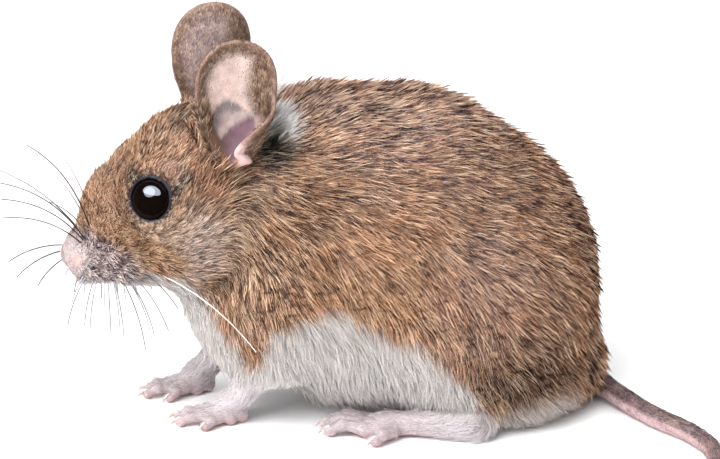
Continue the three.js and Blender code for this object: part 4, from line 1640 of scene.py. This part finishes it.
@dataclass
class Coat:
    """The whole coat, planted piece by piece on the skin."""

    skin: Object
    grooming: Grooming
    most_tufts: int = 49000  # four faces each, so that no piece reaches 200,000
    pieces: tuple[CoatPiece, ...] = (
        CoatPiece("coat_muzzle", Slot.BROWN, 11, 1.2, 0.14, 0.42),
        CoatPiece("coat_head_left", Slot.BROWN, 12, 0.4, 0.16, 0.32),
        CoatPiece("coat_head_right", Slot.BROWN, 13, 0.4, 0.16, 0.32),
        CoatPiece("coat_shoulders", Slot.BROWN, 14),
        CoatPiece("coat_back", Slot.BROWN, 15),
        CoatPiece("coat_flank_left", Slot.BROWN, 16),
        CoatPiece("coat_flank_right", Slot.BROWN, 17),
        CoatPiece("coat_rump", Slot.BROWN, 18),
        CoatPiece("coat_belly", Slot.WHITE, 19),
        CoatPiece("coat_limbs", Slot.WHITE, 20, 0.35, 0.08, 0.4),
        CoatPiece("coat_ears", Slot.EAR, 21, 0.4, 0.1, 0.3),
        CoatPiece("coat_tail", Slot.TAIL, 22, 0.3, 0.1, 0.3),
    )
    near: Array = field(init=False)  # a vertex of each of the skin's faces
    used: Array = field(init=False)  # the skin's vertices under the piece in hand

    def masks(self, p: Array, n: Array) -> dict[str, Array]:
        """Which places belong to which piece.

        Args:
            p: the middles of the skin's faces.
            n: their normals.

        Returns:
            A mask for each piece, by its name.
        """
        v = self.grooming.values
        kind, ear = v["kind"][self.near], v["ear"][self.near]
        x, y, z = p.T
        head = (kind == Part.HEAD.value) & ~ear
        torso = (kind == Part.TORSO.value) & ~ear
        limbs = np.isin(kind, (Part.FORELEG.value, Part.HINDLEG.value)) & ~ear
        belly = torso & (self.grooming.markings.white_share(p, n) > 0.5)
        torso &= ~belly
        back = torso & (z > 33) & (x > -7)
        side = torso & ~back & (x > -7) & (x < 15)
        return {
            "coat_muzzle": head & (x < -29.5),
            "coat_head_left": head & (x >= -29.5) & (y < 0), "coat_head_right": head & (x >= -29.5) & (y >= 0),
            "coat_shoulders": torso & (x <= -7), "coat_back": back,
            "coat_flank_left": side & (y < 0), "coat_flank_right": side & (y >= 0),
            "coat_rump": torso & ~back & (x >= 15), "coat_belly": belly,
            "coat_limbs": limbs, "coat_ears": ear, "coat_tail": (kind == Part.TAIL.value) & ~ear,
        }

    def unwrap(self, name: str, p: Array, n: Array) -> Array:
        """Spreads a piece's skin flat: along the body and round it, with one island for each limb or ear face.

        Args:
            name: the piece.
            p: its skin's vertices.
            n: their normals.

        Returns:
            Places from 0 to 1.
        """
        v = self.grooming.values
        if name == "coat_ears":
            u = np.stack((p[:, 0] + 14 * (p[:, 1] > 0), p[:, 2] + 20 * (v["facing"][self.used] > 0)), 1)
        elif name == "coat_tail":
            u = np.stack((v["way"][self.used], np.arctan2(n[:, 1], n[:, 2]) * 4), 1)
        elif name == "coat_limbs":
            u = np.stack((p[:, 0] + p[:, 2], np.arctan2(n[:, 1], n[:, 2]) * 3 + 22 * v["nearest"][self.used]), 1)
        else:
            centre = np.interp(p[:, 0], (-37, -25, -10, 10, 30), (21.5, 26, 22, 18, 12))
            turn = np.arctan2(p[:, 1], (centre - p[:, 2]) if name == "coat_belly" else (p[:, 2] - centre))
            u = np.stack((p[:, 0], turn * 14), 1)
        low, high = u.min(0), u.max(0)
        return 0.01 + 0.98 * (u - low) / np.maximum(high - low, 1e-6)

    def grow(self) -> list[Object]:
        """Plants every piece of the coat.

        Returns:
            The coat as plain meshes.
        """
        mesh, v = self.skin.data, self.grooming.values
        tree, material = CoatTree().build(), CoatFinish().material()
        tuft = self.sliver()
        triangles = np.empty(len(mesh.polygons) * 3, np.int64)
        mesh.polygons.foreach_get("vertices", triangles)
        triangles = triangles.reshape(-1, 3)
        points, normals = self.grooming.points, self.grooming.normals
        middle, facing = points[triangles].mean(1), unit(normals[triangles].mean(1))
        self.near = triangles[:, 0]
        masks = self.masks(middle, facing)
        made = []
        for piece in self.pieces:
            faces = triangles[masks[piece.name]]
            if not len(faces):
                continue
            self.used, faces = np.unique(faces, return_inverse=True)
            faces = faces.reshape(-1, 3)
            p, n = points[self.used], normals[self.used]
            corner = p[faces]
            area = 0.5 * norms(np.cross(corner[:, 1] - corner[:, 0], corner[:, 2] - corner[:, 0]))
            density = v["density"][self.used]
            expected = float((density[faces].mean(1) * area).sum())
            density = density * min(1.0, self.most_tufts / max(expected, 1.0))
            LOG.info("%s: %.0f mm2 of skin, %.0f tufts wanted", piece.name, area.sum(), expected)
            ground = mesh_object(piece.name + "_ground", to_row(p), faces)
            for name in ("length", "width", "lift", "ticking", "lie", "coat"):
                scale = MM if name in ("length", "width") else 1.0
                put_attribute(ground.data, name, v[name][self.used] * scale)
            put_attribute(ground.data, "density", density / MM**2)
            put_attribute(ground.data, "up", n)
            put_attribute(ground.data, "unwrap", np.column_stack((self.unwrap(piece.name, p, n), np.zeros(len(p)))))
            coat = run_group(
                ground, tree, piece.name,
                ("pull", "patch", "unwrap", "up", "lie", "density", "length", "width", "lift"),
                Tuft=tuft, Seed=piece.seed, Spread=piece.spread, Clumps=piece.clumps, Pull=piece.pull,
                Material=material,
            )
            coat.data.shade_flat()
            made.append(dress(coat))
        bpy.data.objects.remove(tuft)
        return made

    @staticmethod
    def sliver() -> Object:
        """Makes one tuft 1 long, 1 wide and 1 high: a bent sliver, widest below its middle, closed by four faces."""
        points = np.array(((0, 0, 0), (0.4, -0.5, 0.58), (0.4, 0.5, 0.58), (1, 0, 1)), float)
        made = mesh_object("tuft_shape", points, [(0, 1, 2), (1, 3, 2), (0, 3, 1), (0, 2, 3)])
        put_attribute(made.data, "along", points[:, 0])
        put_attribute(made.data, "patch", points[:, :2] - (0.5, 0))
        return made


# ---- skin, eyes, claws and whiskers


@dataclass
class Skin:
    """The one skin that stands for every node of flesh."""

    body: Body
    most_triangles: int = 185000
    flesh_nodes: tuple[str, ...] = (
        "head", "nose", "neck", "trunk", "haunch_left", "haunch_right", "ear_left", "ear_right",
        "foreleg_left", "foreleg_right", "forefoot_left", "forefoot_right", "hindfoot_left", "hindfoot_right",
        "tail_root", "tail_bend", "tail_middle", "tail_end",
    )

    def build(self) -> tuple[Object, Grooming]:
        """Wraps, thins and paints the skin.

        Returns:
            The skin's object and what grows on it.
        """
        mesher = SkinMesher(self.body, step=0.2)
        points, quads = mesher.wrap()
        LOG.info("skin wrapped: %d quads", len(quads))
        points = mesher.settle(points, quads, rounds=2)
        LOG.info("skin settled")
        raw = mesh_object("skin_raw", to_row(points), quads)
        thin = raw.modifiers.new("thin", "DECIMATE")
        thin.ratio = min(1.0, self.most_triangles / (2 * len(quads)))
        thin.use_collapse_triangulate = True
        skin = frozen_mesh(raw, "skin")
        mesh = skin.data
        mesh.shade_smooth()
        count = len(mesh.vertices)
        place, normal = np.empty((count, 3), F32), np.empty((count, 3), F32)
        mesh.vertices.foreach_get("co", place.ravel())
        mesh.vertices.foreach_get("normal", normal.ravel())
        grooming = Grooming(self.body, Markings(), place.astype(float) / MM - SHIFT, normal.astype(float))
        LOG.info("skin thinned: %d vertices", count)
        grooming.survey()
        for name in ("skin", "rings", "way"):
            put_attribute(mesh, name, grooming.values[name])
        mesh.materials.append(SkinFinish().material())
        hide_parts(*self.flesh_nodes)
        return dress(skin), grooming


@dataclass(frozen=True)
class Eyes:
    """The two round, bulging eyes."""

    head: Head
    rows: int = 40
    columns: int = 72

    def build(self) -> list[Object]:
        """Makes both eyeballs, each with its poles along the eye's axis.

        Returns:
            The two pieces.
        """
        material = EyeFinish().material()
        made = []
        for side in Side:
            axis = self.head.axis() * np.array((1, -side.value, 1))
            centre = np.array(self.head.eye) * np.array((1, -side.value, 1))
            across = unit(np.cross(axis, (0, 0, 1.0)))
            up = np.cross(across, axis)
            points = [centre + axis * self.head.eye_radius]
            for i in range(1, self.rows):
                a = math.pi * i / self.rows
                for j in range(self.columns):
                    b = 2 * math.pi * j / self.columns
                    ray = axis * math.cos(a) + (across * math.cos(b) + up * math.sin(b)) * math.sin(a)
                    points.append(centre + ray * self.head.eye_radius)
            points.append(centre - axis * self.head.eye_radius)
            n, last = self.columns, len(points) - 1
            faces: list[tuple[int, ...]] = []
            for j in range(n):
                k = (j + 1) % n
                faces.append((0, 1 + k, 1 + j))
                for i in range(self.rows - 2):
                    a, b = 1 + i * n, 1 + (i + 1) * n
                    faces.append((a + j, a + k, b + k, b + j))
                faces.append((1 + (self.rows - 2) * n + j, 1 + (self.rows - 2) * n + k, last))
            eye = mesh_object(f"eyeball_{side.name.lower()}", to_row(np.array(points)), faces)
            eye.data.materials.append(material)
            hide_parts(f"eye_{side.name.lower()}")
            made.append(dress(eye))
        return made


@dataclass(frozen=True)
class PlantTree:
    """A Geometry Nodes tree that sets one curved horn or shaft on each point, by the point's own sizes."""

    name: str = "plant_shafts"

    def build(self) -> Tree:
        """Builds the tree.

        Returns:
            The node group, with its named inputs.
        """
        tree, given = new_group(self.name, Shaft="Object")
        read = {
            name: result(tree, "GeometryNodeInputNamedAttribute", {"Name": name}, data_type="FLOAT_VECTOR")
            for name in ("up", "heading", "sizes")
        }
        points = result(tree, "GeometryNodeMeshToPoints", {0: given["Geometry"]})
        axes = {0: read["heading"], 1: read["up"]}
        rotation = result(tree, "FunctionNodeAxesToRotation", axes, primary_axis="X", secondary_axis="Z")
        shaft = add_node(tree, "GeometryNodeObjectInfo", {"Object": given["Shaft"]}).outputs["Geometry"]
        rows = {"Points": points, "Instance": shaft, "Rotation": rotation, "Scale": read["sizes"]}
        strewn = result(tree, "GeometryNodeInstanceOnPoints", rows)
        solid = result(tree, "GeometryNodeRealizeInstances", {0: strewn})
        shown = result(tree, "GeometryNodeSetMaterial", {"Geometry": solid, "Material": given["Material"]})
        add_node(tree, "NodeGroupOutput", {0: shown})
        return tree


def plant(
    name: str, shaft: Object, rows: Array, pale: Array, material: Material,
) -> Object:
    """Sets shafts on given points.

    Args:
        name: the new piece's name.
        shaft: the shape that is repeated, which is removed afterwards.
        rows: for each shaft its root, heading, bend direction and sizes, 12 numbers in mm.
        pale: how pale each one is.
        material: its finish.

    Returns:
        The piece as a plain mesh.
    """
    ground = mesh_object(name + "_roots", to_row(rows[:, :3]), [])
    for key, values in (("heading", rows[:, 3:6]), ("up", rows[:, 6:9]), ("sizes", rows[:, 9:12] * MM), ("pale", pale)):
        put_attribute(ground.data, key, values)
    made = run_group(ground, PlantTree().build(), name, ("heading", "up", "sizes"), Shaft=shaft, Material=material)
    made.data.shade_smooth()
    bpy.data.objects.remove(shaft)
    return made


@dataclass(frozen=True)
class Claws:
    """Slim pale claws, one on each toe."""

    body: Body

    def build(self) -> Object:
        """Makes all the claws as one piece.

        Returns:
            The piece.
        """
        t = np.linspace(0.06, 0.9, 7)
        rings = tuple((float(x), float(x**2.2), float(0.5 * (1 - x) ** 0.75 * min(1, 3 * x + 0.55))) for x in t)
        shaft = ClawShape("claw_shape", rings).build()
        rows = []
        for leg in self.body.forelegs + self.body.hindlegs:
            for digit in leg.digits:
                root, way = digit.claw_frame(leg.stance)
                root = root - way * 0.25
                heading = unit(way + np.array((0, 0, 0.12)))
                rows.append((*root, *heading, 0, 0, -1, digit.claw + 0.6, 0.52, root[2] - 0.1))
        horn = HornFinish("claw_horn", "#c4b2a8", "#9a8a80").material()
        claws = plant("claws", shaft, np.array(rows, float), np.zeros(len(rows)), horn)
        return dress(claws)


@dataclass(frozen=True)
class ShaftTree:
    """A Geometry Nodes tree that turns lines into tapered round shafts."""

    name: str = "sweep_shafts"
    sides: int = 6

    def build(self) -> Tree:
        """Builds the tree.

        Returns:
            The node group, with its named inputs.
        """
        tree, given = new_group(self.name, Root="Float", Tip="Float")
        along = result(tree, "GeometryNodeInputNamedAttribute", {"Name": "along"}, data_type="FLOAT")
        stout = result(tree, "GeometryNodeInputNamedAttribute", {"Name": "stout"}, data_type="FLOAT")
        thick = result(tree, "ShaderNodeMapRange", {0: along, 3: given["Root"], 4: given["Tip"]})
        radius = number(tree, "MULTIPLY", thick, stout)
        line = result(tree, "GeometryNodeMeshToCurve", {"Mesh": given["Geometry"]})
        sized = result(tree, "GeometryNodeSetCurveRadius", {"Curve": line, "Radius": radius})
        ring = result(tree, "GeometryNodeCurvePrimitiveCircle", {"Resolution": self.sides, "Radius": 1.0})
        sweep = {"Curve": sized, "Profile Curve": ring, "Scale": radius, "Fill Caps": True}
        swept = result(tree, "GeometryNodeCurveToMesh", sweep)
        solid = result(tree, "GeometryNodeRealizeInstances", {0: swept})
        shown = result(tree, "GeometryNodeSetMaterial", {"Geometry": solid, "Material": given["Material"]})
        add_node(tree, "NodeGroupOutput", {0: shown})
        return tree


@dataclass(frozen=True)
class Whisker:
    """One whisker: its angle in the side view (90 up, 180 ahead), length in mm, paleness, stoutness and root."""

    angle: float
    length: float
    pale: float = 0.0
    stout: float = 1.0
    root: Vec3 | None = None


@dataclass(frozen=True)
class Whiskers:
    """The fans of whiskers on both sides of the muzzle; left and right hold the six a side that stand for solids."""

    pad: Vec3 = (-31.2, 2.9, 22.5)
    pad_size: Vec3 = (3.2, 0.8, 2.0)
    outward: float = 0.45
    sag: float = 0.09
    root_radius: float = 0.095
    tip_radius: float = 0.06
    stations: int = 14
    left: tuple[Whisker, ...] = (
        Whisker(118, 18.2), Whisker(136, 16.6), Whisker(149, 12.2),
        Whisker(240, 7.7), Whisker(288, 10.4), Whisker(326, 18.6, 1.0, 0.85),
    )
    right: tuple[Whisker, ...] = (
        Whisker(112, 9, 0.1), Whisker(200, 9.6, 0.0, 1.2), Whisker(212, 9.8, 0.0, 1.2),
        Whisker(225, 8.6, 0.0, 1.2), Whisker(285, 9, 0.1), Whisker(326, 16, 1.0, 0.85),
    )
    shared: tuple[Whisker, ...] = (
        Whisker(142, 14.0), Whisker(128, 9.0, 0.1, 0.9), Whisker(232, 5.0, 0.1, 0.9), Whisker(250, 7.1),
        Whisker(259, 7.6, 0.1), Whisker(266, 6.2, 0.1, 0.9), Whisker(271, 8.0, 0.1), Whisker(276, 7.0, 0.1, 0.9),
        Whisker(281, 8.4, 0.1), Whisker(129, 3.6, 0.2, 0.7, (-29.8, 1.6, 31.0)),
        Whisker(124, 3.0, 0.3, 0.6, (-28.2, 3.0, 32.4)), Whisker(293, 9.0, 0.1), Whisker(304, 9.5, 0.1),
        Whisker(318, 8.1), Whisker(298, 8.4, 0.1, 0.9),
    )

    def line(self, body: Body, side: Side, whisker: Whisker) -> Array:
        """A whisker's middle line, bowed up from the straight line between its ends and begun just under the skin.

        Args:
            body: the body it grows on.
            side: the side of the muzzle.
            whisker: which whisker.

        Returns:
            Its stations in mm in the body frame, root first.
        """
        turn = math.radians(whisker.angle)
        ahead, rise = math.cos(turn), math.sin(turn)
        root = np.array((
            self.pad[0] + self.pad_size[0] * ahead, side.value * (self.pad[1] + self.pad_size[1] * ahead),
            self.pad[2] + self.pad_size[2] * rise,
        ))
        if whisker.root:
            root = np.array(whisker.root) * (1, side.value, 1)
        heading = unit(np.array((ahead, side.value * self.outward, rise)))
        bow = unit(np.array((0, 0, 1.0)) - heading * heading[2])
        t = np.linspace(0, 1, 80)[:, None]
        line = root + heading * whisker.length * t + bow * (4 * self.sag * whisker.length) * t * (1 - t)
        inside = np.flatnonzero(body.field(line.astype(F32)) < -0.15)
        first = inside.max() if len(inside) else 0
        return line[np.linspace(first, 79, self.stations).round().astype(int)]

    def build(self, body: Body) -> Object:
        """Makes all the whiskers as one piece.

        Args:
            body: the body they grow on.

        Returns:
            The piece.
        """
        draw = np.random.default_rng(4)
        lines, pale, stout = [], [], []
        for side, own in ((Side.LEFT, self.left), (Side.RIGHT, self.right)):
            for n, whisker in enumerate(own + self.shared):
                nudge = 0.0 if n < len(own) else draw.normal(0, 2.0)
                lines.append(self.line(body, side, replace(whisker, angle=whisker.angle + nudge)))
                pale.append(whisker.pale)
                stout.append(whisker.stout)
        count, steps = len(lines), self.stations
        edges = [(i * steps + j, i * steps + j + 1) for i in range(count) for j in range(steps - 1)]
        roots = mesh_object("whisker_lines", to_row(np.vstack(lines)), [], edges)
        put_attribute(roots.data, "along", np.tile(np.linspace(0, 1, steps), count))
        put_attribute(roots.data, "pale", np.repeat(pale, steps))
        put_attribute(roots.data, "stout", np.repeat(stout, steps))
        made = run_group(
            roots, ShaftTree().build(), "whiskers", (), Root=self.root_radius * MM, Tip=self.tip_radius * MM,
            Material=HornFinish("whisker_shaft", "#2b2322", "#463c39").material(),
        )
        made.data.shade_smooth()
        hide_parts(*[f"whisker_{side.name.lower()}_{n + 1}" for side in Side for n in range(len(self.left))])
        return dress(made)


# ---- studio


@dataclass(frozen=True)
class Studio:
    """Pale floor, soft lights and the camera."""

    azimuth: float = -10.0
    elevation: float = 20.0
    distance: float = 0.35
    pixels_per_mm: float = 8.2
    target: Vec3 = (0.0, 0.0, 22.5)

    def basis(self) -> tuple[Array, Array, Array]:
        """The camera's right, up and back directions."""
        a, e = math.radians(self.azimuth), math.radians(self.elevation)
        back = np.array((math.sin(a) * math.cos(e), -math.cos(a) * math.cos(e), math.sin(e)))
        right = np.array((math.cos(a), math.sin(a), 0.0))
        return right, np.cross(back, right), back

    def stand(self, made: Object, way: Array, distance: float) -> None:
        """Stands a lamp or camera off the figure, some metres along a direction, and turns it to face the figure."""
        made.location = Vector(to_row(np.array(self.target)) + way * distance)
        made.rotation_mode = "QUATERNION"
        made.rotation_quaternion = Vector(-way).to_track_quat("-Z", "Y")

    def camera(self) -> None:
        """Sets the camera on the figure's left side, a little above it."""
        data = bpy.data.cameras.new("camera")
        data.sensor_width = 36.0
        data.lens = 36.0 * self.pixels_per_mm * self.distance / MM / IMAGE_SIZE[0]
        data.clip_start, data.clip_end = 0.01, 20.0
        made = link_object("camera", data)
        self.stand(made, self.basis()[2], self.distance)
        bpy.context.scene.camera = made

    def lamp(
        self, name: str, direction: Sequence[float], distance: float, size: tuple[float, float], power: float,
        colour: str, mirrored_only: bool,
    ) -> None:
        """Adds a soft box that faces the figure.

        Args:
            name: the lamp's name.
            direction: where it stands, in the camera's right, up and back.
            distance: how far off, in metres.
            size: its width and height in metres.
            power: its power in watts.
            colour: its colour.
            mirrored_only: whether it is only seen in gloss, or else only lights matt surfaces.
        """
        data = bpy.data.lights.new(name, "AREA")
        data.shape, data.size, data.size_y = "ELLIPSE" if mirrored_only else "RECTANGLE", *size
        data.energy, data.color = power, linear(colour)[:3]
        made = link_object(name, data)
        self.stand(made, unit(sum(k * d for k, d in zip(direction, self.basis()))), distance)
        made.visible_diffuse, made.visible_glossy = not mirrored_only, mirrored_only

    def build(self) -> None:
        """Makes the floor, the lights, the sky and the camera."""
        floor = mesh_object("floor", np.array(((-3, -3, 0), (3, -3, 0), (3, 3, 0), (-3, 3, 0)), float), [(0, 1, 2, 3)])
        floor.data.materials.append(FloorFinish().material())
        floor.visible_glossy = False
        world = bpy.data.worlds.new("studio_sky")
        world.use_nodes = True
        world.node_tree.nodes["Background"].inputs[0].default_value = linear("#ffffff")
        world.node_tree.nodes["Background"].inputs[1].default_value = 0.62
        world.cycles_visibility.glossy = False
        bpy.context.scene.world = world
        bpy.context.scene.view_settings.view_transform = "Standard"
        self.lamp("window", (-0.20, 0.66, 0.72), 0.35, (0.66, 0.30), 16.0, "#e4edff", True)
        self.lamp("window_low", (-0.40, 0.53, 0.75), 0.34, (0.34, 0.30), 7.0, "#dfe9ff", True)
        self.lamp("key_box", (-0.40, 0.58, 0.72), 0.45, (0.3, 0.3), 2.3, "#fffaf4", False)
        self.lamp("top_box", (0.2, 1.0, -0.1), 0.6, (0.6, 0.6), 2.0, "#ffffff", False)
        self.lamp("fill_box", (-0.6, -0.08, 0.8), 0.6, (0.6, 0.5), 2.0, "#ffffff", False)
        self.camera()


def main() -> None:
    """Builds the figure and its studio, piece by piece."""
    logging.basicConfig(level=logging.INFO, format="%(name)s %(message)s", force=True)
    body = Body()
    Studio().build()
    skin, grooming = Skin(body).build()
    Coat(skin, grooming).grow()
    Eyes(body.head).build()
    Claws(body).build()
    Whiskers().build(body)


if __name__ == "__main__":
    main()
